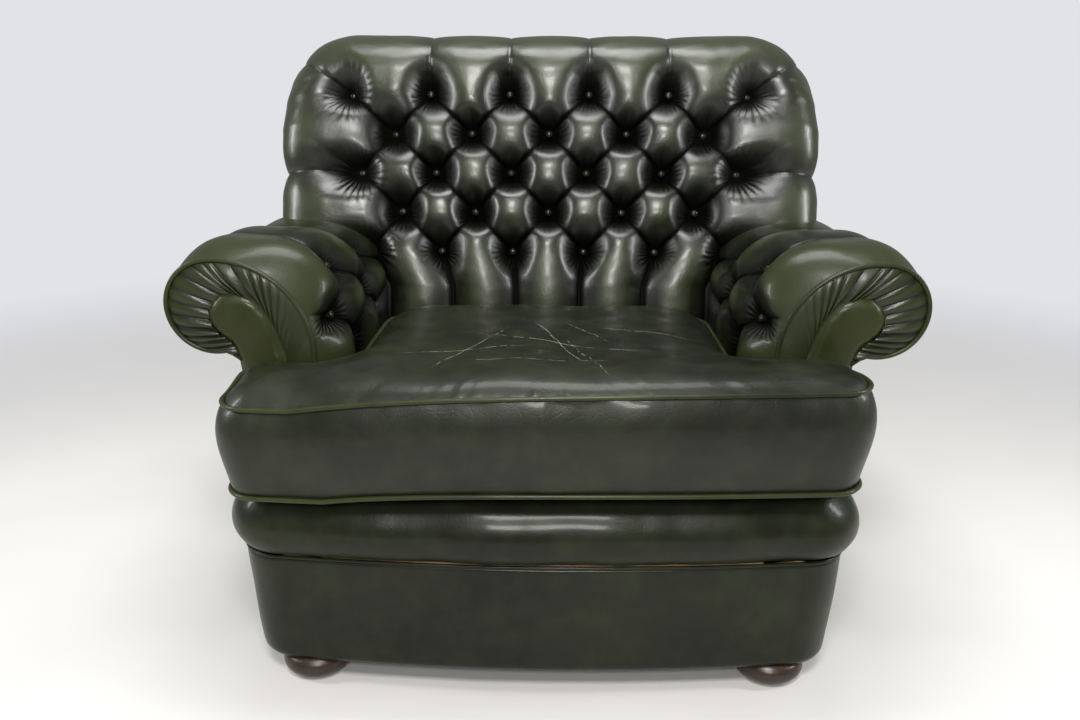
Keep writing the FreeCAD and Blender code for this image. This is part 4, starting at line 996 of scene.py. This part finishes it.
def make_arm_fronts(hide, hide_facing, hide_piping):
    """Plain facing, gathered band and piping of each arm front."""
    edge = smooth(resample(facing_path(0.0), 160), 12)
    loop = np.concatenate([edge, trace(edge[-1], (0.448, ARM_BASE), edge[0])[1:-1]])[::-1]
    flat, faces, deep = fill(loop, 0.005)
    out = 0.004 + 0.007 * settle(deep, 0.0028) + 0.0022 * settle(deep, 0.02)
    out += 0.0005 * ripples(flat, 0.05, 21)
    front = stack(flat[:, 0], ARM_FRONT - out, flat[:, 1])
    rim = stack(loop[:, 0], ARM_FRONT, loop[:, 1])
    both_sides("facing_leather", *walled(front, rim, faces), hide_facing, "green_leather",
               ("arm_facing",))

    count = RUCHE_PLEATS * 16 + 1
    inner = resample(smooth(resample(facing_path(-0.003), 160), 12), count)
    outer = resample(piping_path(0.001, PIPING_START), count)
    along = np.linspace(0, 1, count)
    rng = np.random.RandomState(4)
    uneven = np.interp(along, np.linspace(0, 1, 16), rng.uniform(-0.5, 0.5, 16))
    ridge = np.abs(np.sin(math.pi * (along * RUCHE_PLEATS + uneven))) ** 0.7
    tall = np.interp(along, np.linspace(0, 1, 41), rng.uniform(0.45, 1.15, 41))
    strength = np.interp(along, *zip(*RUCHE_FADE)) * tall
    shares = np.linspace(0, 1, 22)
    bands = []
    for v in shares:
        dome = 0.0018 + 0.0052 * math.sin(math.pi * min(v * 0.96 + 0.02, 1.0)) ** 0.75
        fold = RUCHE_DEPTH * (1 - 0.55 * v) * settle(1 - v, 0.10) * strength
        twist = 0.012 * (v - 0.5) * np.sin(2 * math.pi * uneven)
        shifted = np.clip(along + twist / 3, 0, 1)
        x, z = [np.interp(shifted, along, column) for column in (inner + (outer - inner) * v).T]
        bands.append(stack(x, ARM_FRONT - dome - fold * ridge, z))
    # Painted shade in the hollows between the gathers, fading out with the gathers and less towards
    # the piping.
    shade = np.concatenate([(1 - ridge) * 0.7 * strength * (1 - 0.4 * v) for v in shares])
    both_sides("ruche_leather", np.concatenate(bands), grid_faces(len(shares), count)[:, ::-1],
               hide, "green_leather", ("arm_ruche",), shade)

    x, z = piping_path(0.0, PIPING_START).T
    points, faces = tube(stack(x, ARM_FRONT - PIPING_R - 0.001, z), PIPING_R, (0.0, 1.0, 0.0))
    both_sides("arm_cord", points, faces, hide_piping, "piping_leather", ("arm_piping",))


# Seat cushion

def cushion_loop(grow=0.0):
    """T-shaped outline of the cushion."""
    corner = CUSHION_HALF - EAR_FRONT_R
    bow_x = np.linspace(0, corner, 100)
    bow = stack(bow_x, CUSHION_FRONT + CUSHION_BOW * (bow_x / corner) ** 2)
    right = trace(
        bow,
        arc(corner, CUSHION_FRONT + CUSHION_BOW + EAR_FRONT_R, EAR_FRONT_R, -90, 0),
        arc(CUSHION_HALF - EAR_BACK_R, EAR_BACK - EAR_BACK_R, EAR_BACK_R, 0, 90),
        arc(NECK_HALF + NECK_R, EAR_BACK + NECK_R, NECK_R, 270, 180),
        arc(NECK_HALF - CUSHION_REAR_R, CUSHION_REAR - CUSHION_REAR_R, CUSHION_REAR_R, 0, 90),
        (0.0, CUSHION_REAR))
    loop = whole_loop(right)
    return loop + outward(loop, True) * grow


def front_share(y):
    """1 along the cushion's front edge, fading to 0 behind its ears."""
    return smoothstep((-0.24 - y) / 0.13)


def piping_high(x, y):
    """Height of the cushion's top piping, which sags at the left end of its front."""
    rise = FRONT_HIGH_RISE * (1 - np.exp(-np.maximum(x + 0.34, 0.0) / 0.20))
    return PIPING_HIGH + (FRONT_HIGH + rise - PIPING_HIGH) * front_share(y)


def piping_low(x, y):
    """Height of the cushion's bottom piping, lowest near the left end of its front."""
    rise = FRONT_LOW_RISE * (1 - np.exp(-np.maximum(x + 0.30, 0.0) / 0.12))
    return PIPING_LOW + (FRONT_LOW + rise - PIPING_LOW) * front_share(y)


def make_cushion(hide, hide_piping):
    """Crowned T cushion with a full boxing and a cord along both of its seams."""
    loop = cushion_loop()
    flat, faces, deep = fill(loop, 0.0062)
    x, y = flat.T
    crown = CROWN_QUICK[0] * settle(deep, CROWN_QUICK[1])
    crown += CROWN_SLOW[0] * settle(deep, CROWN_SLOW[1])
    wide = 0.0026 * ripples(flat, 0.24, 31) + 0.0006 * ripples(flat, 0.07, 32)
    gathers = np.exp(-deep / 0.016) * settle(deep, 0.004)
    around = stack(np.arctan2(y + 0.2, x), 0.0)
    crown += settle(deep, 0.03) * wide + 0.0009 * gathers * ripples(around, 0.06, 33)
    edge_z = PIPING_HIGH + (piping_high(x, y) - PIPING_HIGH) * np.exp(-deep / 0.12)
    low = piping_low(x, y)
    sheets = [stack(x, y, edge_z + crown),
              stack(x, y, low + (CUSHION_BASE - low) * settle(deep, 0.012))]

    normals = outward(loop, True)
    lap = run_along(loop)
    levels = np.linspace(0, 1, 26)
    foot, head = piping_low(*loop.T), piping_high(*loop.T)
    walls = []
    for t in levels:
        bulge = BOXING_BULGE * max(math.sin(math.pi * t ** 1.5), 0.0) ** 0.8
        place = stack(lap, t * (PIPING_HIGH - PIPING_LOW))
        seam = math.exp(-min(t, 1 - t) / 0.10)
        rough = 0.0008 * ripples(place * (1.0, 0.35), 0.05, 34) * seam
        rough += 0.0018 * ripples(place, 0.16, 35)
        spot = loop + normals * (bulge + rough * settle(min(t, 1 - t), 0.03))[:, None]
        walls.append(stack(*spot.T, foot + (head - foot) * t))
    sides = grid_faces(len(levels), len(loop), True) + 2 * len(flat)
    triangles = cut_quads(sides, np.ones(len(sides), bool))
    faces = np.concatenate([faces, faces[:, ::-1] + len(flat), triangles])
    piece = build("cushion_leather", np.concatenate(sheets + walls), faces)
    dress(piece, hide, "green_leather", "seat_cushion", "cushion_cover", "cushion_core")
    for name, height in (("cushion_top_cord", piping_high), ("cushion_bottom_cord", piping_low)):
        rim = cushion_loop(PIPING_R + 0.0002)
        points, faces = tube(stack(*rim.T, height(*rim.T)), PIPING_R, (0.0, 0.0, 1.0), True)
        cord = build(name, points, faces)
        dress(cord, hide_piping, "piping_leather", "seat_cushion",
              name.replace("_cord", "_piping"))


# Lip, border and platform

def front_path(half, grow=0.0):
    """Plan of the seat's front from its left end round to its right, evenly numbered."""
    corner = half - BORDER_CORNER
    bow_x = np.linspace(0, corner, 110)
    bow = stack(bow_x, BORDER_FRONT + BORDER_BOW * (bow_x / corner) ** 2)
    turns = np.radians(np.linspace(-90, 0, 30))[1:]
    hub_y = BORDER_FRONT + BORDER_BOW + BORDER_CORNER
    bend = stack(corner + BORDER_CORNER * np.cos(turns),
                 hub_y + BORDER_CORNER * np.sin(turns))
    side_y = np.linspace(hub_y, ARM_FRONT - 0.002, 20)[1:]
    side = stack(np.full(len(side_y), half), side_y)
    right = np.concatenate([bow, bend, side])
    path = np.concatenate([right[:0:-1] * (-1.0, 1.0), right])
    return path + outward(path, False) * grow


def lip_round(t):
    """How far the lip stands out from the border's line, and its height, up its round."""
    turn = math.radians(LIP_FROM + (LIP_TO - LIP_FROM) * t)
    middle = (LIP_LOW + DECK) / 2
    z = middle + (DECK - 0.0005 - middle) * math.sin(turn)
    lean = LIP_LEAN * (max(z - LIP_LEAN_FROM, 0.0) / (DECK - LIP_LEAN_FROM)) ** 2
    return LIP_OUT * math.cos(turn) - LIP_BACK - lean, z


def make_seat_front(hide):
    """Rolled lip, the plain border under it, and the welt between them."""
    path = front_path(BORDER_HALF_HIGH)
    normals = outward(path, False)
    inward = stack(*-normals.T, 0.0)
    lap = run_along(path)
    rows = []
    for t in np.linspace(0, 1, 40):
        out, z = lip_round(t)
        place = stack(lap, 0.16 * t)
        rough = 0.0007 * (0.3 + math.exp(-t / 0.16)) * ripples(place * (1.0, 0.25), 0.045, 41)
        rough += 0.0020 * ripples(place, 0.2, 42)
        spot = path + normals * (out + rough * settle(t, 0.04))[:, None]
        rows.append(stack(*spot.T, z))
    rows = [rows[0] + 0.006 * inward - (0.0, 0.0, 0.010)] + rows + [rows[-1] + 0.05 * inward]
    piece = build("lip_leather", np.concatenate(rows), grid_faces(len(rows), len(lap)))
    dress(piece, hide, "green_leather", "chair", "lip_cover", "lip_pad")

    low = front_path(BORDER_HALF_LOW)
    low_normals = outward(low, False)
    rows = [stack(*(low - low_normals * 0.012).T, BORDER_LOW + 0.001)]
    for t in np.linspace(0, 1, 34):
        place = stack(lap, 0.167 * t)
        arch = math.sin(math.pi * t)
        bulge = 0.0025 * arch ** 0.6 - 0.003 * math.exp(-t / 0.015)
        rough = 0.0013 * ripples(place, 0.22, 43) + 0.0004 * ripples(place * (1.0, 0.3), 0.05, 44)
        facing = low_normals + (normals - low_normals) * t
        spot = low + (path - low) * t + facing * (bulge + rough * arch ** 0.5)[:, None]
        rows.append(stack(*spot.T, BORDER_LOW + (BORDER_HIGH - BORDER_LOW) * t))
    rows.append(rows[-1] + 0.01 * inward)
    piece = build("border_leather", np.concatenate(rows), grid_faces(len(rows), len(lap)))
    dress(piece, hide, "green_leather", "chair", "front_border_cover")

    welt = front_path(BORDER_HALF_HIGH, -0.0002)
    seam = (BORDER_HIGH + LIP_LOW) / 2 + 0.0006 * ripples(welt, 0.3, 45)
    points, faces = tube(stack(*welt.T, seam), WELT_R, (0.0, 0.0, 1.0))
    dress(build("border_cord", points, faces), hide, "piping_leather", "chair", "border_welt")


def make_platform(weave):
    """Cloth-covered pad that the loose cushion lies on."""
    low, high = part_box("platform_pad")
    half, front, rear = high.x, low.y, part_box("platform_cover")[1].y
    loop = whole_loop(trace((0.0, front), arc(half - 0.012, front + 0.012, 0.012, -90, 0),
                            arc(half - 0.012, rear - 0.012, 0.012, 0, 90), (0.0, rear)))
    flat, faces, deep = fill(loop, 0.012)
    z = DECK - 0.004 * np.exp(-deep / 0.006) - 0.001 + 0.0006 * ripples(flat, 0.12, 51)
    sheets = [stack(*flat.T, np.minimum(z, DECK)), stack(*loop.T, low.z),
              stack(*loop.T, DECK - 0.005)]
    sides = cut_quads(grid_faces(2, len(loop), True) + len(flat), np.ones(len(loop), bool))
    piece = build("platform_cloth", np.concatenate(sheets), np.concatenate([faces, sides]))
    dress(piece, weave, "platform_cloth", "chair", "platform_cover", "platform_pad")


# Outside panels, underside and feet

def panel(name, loop, y_at, puff, hide, nodes, both=False):
    """Leather drawn over a flat board in an X-Z outline; it faces the rear."""
    flat, faces, deep = fill(loop, 0.012)
    rise = puff * settle(deep, 0.02) + 0.003 * settle(deep, 0.002)
    rise += 0.0008 * ripples(flat, 0.2, 61) * settle(deep, 0.03)
    front = stack(flat[:, 0], y_at(flat[:, 1]) + rise, flat[:, 1])
    rim = stack(loop[:, 0], y_at(loop[:, 1]) - 0.002, loop[:, 1])
    points, faces = walled(front, rim, faces[:, ::-1])
    if both:
        return both_sides(name, points, faces, hide, "green_leather", nodes)
    return dress(build(name, points, faces), hide, "green_leather", "chair", *nodes)


def outside_line(z):
    """Half width of the outside panels at a height: a shallow curve through three places."""
    low, high = BORDER_LOW, OUTSIDE_HIGH_Z
    t = (z - low) / (high - low)
    at = (OUTSIDE_MID_Z - low) / (high - low)
    straight = OUTSIDE_LOW + (OUTSIDE_HIGH - OUTSIDE_LOW) * at
    sag = (OUTSIDE_MID - straight) / (at * (1 - at))
    return OUTSIDE_LOW + (OUTSIDE_HIGH - OUTSIDE_LOW) * t + sag * t * (1 - t)


def make_outside(hide):
    """Panels of the outside back, the scrolls' rear ends and the outside arms."""
    half_top = BACK_FLAT_HALF + REAR_PANEL_RIM
    deep = float(back_half_thickness(np.array(BACK_FLAT_TOP))) * (1 - math.cos(BACK_WRAP))
    top = float(lean_point(np.array(BACK_FLAT_TOP), deep)[1]) + REAR_PANEL_RIM
    corner = BACK_CORNER_R + REAR_PANEL_RIM
    levels = np.linspace(BORDER_LOW, OUTSIDE_HIGH_Z, 60)
    flare = stack(outside_line(levels) - 0.004, levels)
    right = trace((0.0, BORDER_LOW), flare, (half_top, SCROLL_Z), (half_top, top - corner),
                  arc(half_top - corner, top - corner, corner, 0, 90), (0.0, top))
    panel("outside_back_leather", whole_loop(right), rear_y, 0.003, hide, ("outside_back",))

    inner = half_top + 0.003
    high = ARM_SHOULDER_Z + ARM_SHOULDER_R
    loop = trace((inner, SCROLL_Z + 0.009), (inner + 0.005, SCROLL_Z + 0.006),
                 (inner + 0.005, SCROLL_Z - SCROLL_R), arc(SCROLL_X, SCROLL_Z, SCROLL_R, -90, 90),
                 (inner, high), (inner, SCROLL_Z + 0.009))[:-1]
    loop[:, 1] = sunk(loop[:, 1], 1.0)
    panel("arm_end_leather", loop, rear_y, 0.002, hide, ("arm_end_board",), both=True)

    share = np.linspace(0, 1, 90)
    rows = []
    for level in levels:
        y = ARM_FRONT + 0.0005 + (rear_y(level) - 0.003 - ARM_FRONT) * share
        edge = np.minimum(np.minimum(y - y[0], y[-1] - y),
                          min(level - BORDER_LOW, OUTSIDE_HIGH_Z - level))
        puff = 0.003 * settle(edge, 0.03) - 0.003 * np.exp(-edge / 0.002)
        puff += 0.0012 * ripples(stack(y, level), 0.25, 62) * settle(edge, 0.04)
        rows.append(stack(outside_line(level) + puff, y, level))
    rows = [rows[0] - (0.008, 0.0, 0.0)] + rows + [rows[-1] - (0.006, 0.0, -0.004)]
    sheet = np.stack(rows)
    turned = np.array([0.010, 0.0, 0.0])
    sheet = np.concatenate([sheet[:, :1] - turned, sheet, sheet[:, -1:] - turned], 1)
    both_sides("outside_arm_leather", sheet.reshape(-1, 3), grid_faces(*sheet.shape[:2]), hide,
               "green_leather", ("outside_arm",))


def make_underside(weave):
    """Taut black cloth under the frame."""
    path = front_path(BORDER_HALF_LOW, -0.009)
    rear = rear_y(FOOT_HEIGHT) - 0.010
    loop = whole_loop(trace(path[len(path) // 2:][::3], (path[-1][0], rear), (0.0, rear)))
    flat, faces, deep = fill(loop, 0.02)
    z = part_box("dust_cover")[0].z - 0.0015 * settle(deep, 0.08)
    z += 0.0005 * ripples(flat, 0.1, 71)
    piece = build("under_cloth", stack(*flat.T, z), faces[:, ::-1])
    dress(piece, weave, "platform_cloth", "chair", "dust_cover")


def make_feet(wood):
    """Turned bun feet: a rounded body under a short neck, with a fillet at its foot."""
    angle = np.radians(np.linspace(-68, 62, 26))
    belly = stack(FOOT_R - 0.021 + 0.021 * np.cos(angle), 0.0205 + 0.0185 * np.sin(angle))
    profile = np.concatenate([[(0.001, 0.0), (0.0345, 0.0), (0.0375, 0.0012)], belly,
                              [(0.0335, 0.0366), (0.0300, 0.0372), (0.0285, 0.0390),
                               (0.0283, FOOT_HEIGHT), (0.001, FOOT_HEIGHT)]])
    radius, height = profile[:, :1], profile[:, 1:]
    sides = 56
    turns = np.linspace(0, 2 * math.pi, sides, endpoint=False)
    quads = grid_faces(len(profile), sides, True)
    for row, y in (("front", FOOT_FRONT_Y), ("rear", FOOT_REAR_Y)):
        pair = [stack(x + radius * np.cos(turns), y + radius * np.sin(turns), height)
                for x in (-FOOT_X, FOOT_X)]
        points = np.concatenate([foot.reshape(-1, 3) for foot in pair])
        faces = np.concatenate([quads, quads + sides * len(profile)])
        piece = build(row + "_bun_feet", points, faces)
        dress(piece, wood, "stained_wood", "chair", row + "_feet")


def finish_frame(timber_plain, steel, weave, tape, brass, foam):
    """Materials of the hidden frame, which keeps its solids."""
    finishes = {"frame_wood": timber_plain, "spring_steel": steel, "hessian": weave,
                "zip_tape": tape, "zip_brass": brass, "padding": foam, "cushion_foam": foam}
    slots = {s["node"]: s["material_slot"] for s in frame["record"]["subparts"]}
    for name, node in frame["nodes"].items():
        material = finishes.get(slots[name])
        if material is None:
            continue
        node.data.materials.clear()
        node.data.materials.append(material)


# Stage, lights and camera


def softbox(name, at, target, width, height, power, tint):
    light = bpy.data.lights.new(name, "AREA")
    light.shape = "RECTANGLE"
    light.size = width
    light.size_y = height
    light.energy = power
    light.color = tint
    lamp = in_scene(name, light)
    lamp.location = at
    heading = Vector(target) - lamp.location
    lamp.rotation_euler = heading.to_track_quat("-Z", "Y").to_euler()


def make_floor():
    """Pale floor that keeps the shadow near the chair and fades into the room beyond."""
    size = 9.0
    corners = [(-size, -size, 0), (size, -size, 0), (size, size, 0), (-size, size, 0)]
    mesh = bpy.data.meshes.new("floor")
    mesh.from_pydata(corners, [], [(0, 1, 2, 3)])
    floor = in_scene("floor", mesh)
    r = Recipe("pale_floor")
    r.finish(r.blend(r.ramp(r.noise(1.5), 0.3, 0.7), (0.62, 0.61, 0.59), (0.66, 0.65, 0.63)), 0.6)
    far = r.node("ShaderNodeVectorMath", {0: r.place}, operation="LENGTH").outputs["Value"]
    seen = r.node("ShaderNodeLightPath").outputs["Is Camera Ray"]
    share = r.times(r.ramp(far, FLOOR_NEAR, FLOOR_FAR), seen)
    glow = r.node("ShaderNodeEmission", {"Color": ROOM_TINT, "Strength": ROOM_SEEN}).outputs[0]
    mixed = r.node("ShaderNodeMixShader", {0: share, 1: r.shader.outputs[0], 2: glow})
    r.feed(r.tree.nodes["Material Output"].inputs["Surface"], mixed.outputs[0])
    floor.data.materials.append(r.material)


def make_stage():
    """Floor, room and soft lamps."""
    bpy.context.scene.view_settings.view_transform = "Standard"
    make_floor()
    world = bpy.data.worlds.new("room")
    bpy.context.scene.world = world
    world.use_nodes = True
    tree = world.node_tree
    back = tree.nodes["Background"]
    path = tree.nodes.new("ShaderNodeLightPath")
    level = tree.nodes.new("ShaderNodeMapRange")
    level.inputs["To Min"].default_value = ROOM_LIGHT
    level.inputs["To Max"].default_value = ROOM_SEEN
    tree.links.new(path.outputs["Is Camera Ray"], level.inputs["Value"])
    tree.links.new(level.outputs["Result"], back.inputs["Strength"])
    back.inputs["Color"].default_value = ROOM_TINT
    for name, at, target, width, height, power, tint in LAMPS:
        softbox(name, at, target, width, height, power, tint)


def make_camera():
    camera = bpy.data.cameras.new("camera")
    camera.lens = CAMERA_LENS
    camera.sensor_width = 36.0
    camera.sensor_fit = "HORIZONTAL"
    eye = in_scene("camera", camera)
    turn = Matrix.Rotation(CAMERA_LEFT, 4, "Z") @ Matrix.Rotation(math.pi / 2 - CAMERA_DOWN, 4, "X")
    turn = turn @ Matrix.Rotation(-CAMERA_ROLL, 4, "Z")
    eye.matrix_world = Matrix.Translation(CAMERA_AT) @ turn
    bpy.context.scene.camera = eye


# Leather's tones: dark, between, and worn; the tufted hide also darkens the first into painted
# shade in its folds and uses the last partly as a painted highlight on its crowns
GREEN = ((0.004, 0.005, 0.0025), (0.011, 0.014, 0.006), (0.031, 0.039, 0.013))
GREEN_FACING = ((0.014, 0.018, 0.005), (0.025, 0.031, 0.008), (0.038, 0.047, 0.012))
GREEN_PIPING = (*GREEN[1:], tuple(1.3 * c for c in GREEN[2]))
SCRATCHED = (0.20, 0.21, 0.17)
SCRATCHES = [((-0.10, -0.20), (0.16, -0.30), 0.0010), ((-0.02, -0.12), (0.06, -0.36), 0.0009),
             ((-0.22, -0.30), (-0.02, -0.26), 0.0009), ((0.02, -0.10), (0.10, -0.24), 0.0008),
             ((-0.16, -0.36), (-0.05, -0.16), 0.0009), ((0.08, -0.16), (0.24, -0.20), 0.0008),
             ((-0.12, -0.33), (0.10, -0.34), 0.0008), ((0.03, -0.22), (0.09, -0.40), 0.0009)]

make_camera()
make_stage()
hide = leather("green_hide", GREEN)
hide_tufted = leather("green_hide_tufted", GREEN, 0.32, 0.62, True)
hide_arm = leather("green_hide_arm", GREEN, 0.34, 0.26, True)
hide_top = leather("green_hide_cushion", GREEN, 0.38, 0.30, False, SCRATCHES)
hide_facing = leather("green_hide_facing", GREEN_FACING, 0.42)
hide_piping = leather("green_hide_piping", GREEN_PIPING)
hide_button = leather("green_hide_button", GREEN, 0.24)
make_back(hide_tufted, hide_button)
make_arms(hide_arm, hide_button)
make_arm_fronts(hide_arm, hide_facing, hide_piping)
make_cushion(hide_top, hide_piping)
make_seat_front(hide)
make_outside(hide)
make_feet(timber("stained_foot", (0.035, 0.018, 0.010), (0.012, 0.006, 0.004), 0.28))
black = cloth("black_cloth", (0.020, 0.020, 0.021), (0.006, 0.006, 0.006), 0.0016)
make_platform(black)
make_underside(black)
finish_frame(
    timber("planed_wood", (0.47, 0.30, 0.16), (0.30, 0.17, 0.08), 0.55),
    metal("drawn_steel", (0.32, 0.32, 0.33), 0.35),
    cloth("hessian_weave", (0.42, 0.30, 0.16), (0.14, 0.09, 0.04), 0.0035),
    cloth("zip_weave", (0.06, 0.06, 0.03), (0.02, 0.02, 0.01), 0.0010),
    metal("zip_brass", (0.50, 0.33, 0.12), 0.3),
    cloth("wadding", (0.80, 0.77, 0.70), (0.62, 0.59, 0.52), 0.0040))
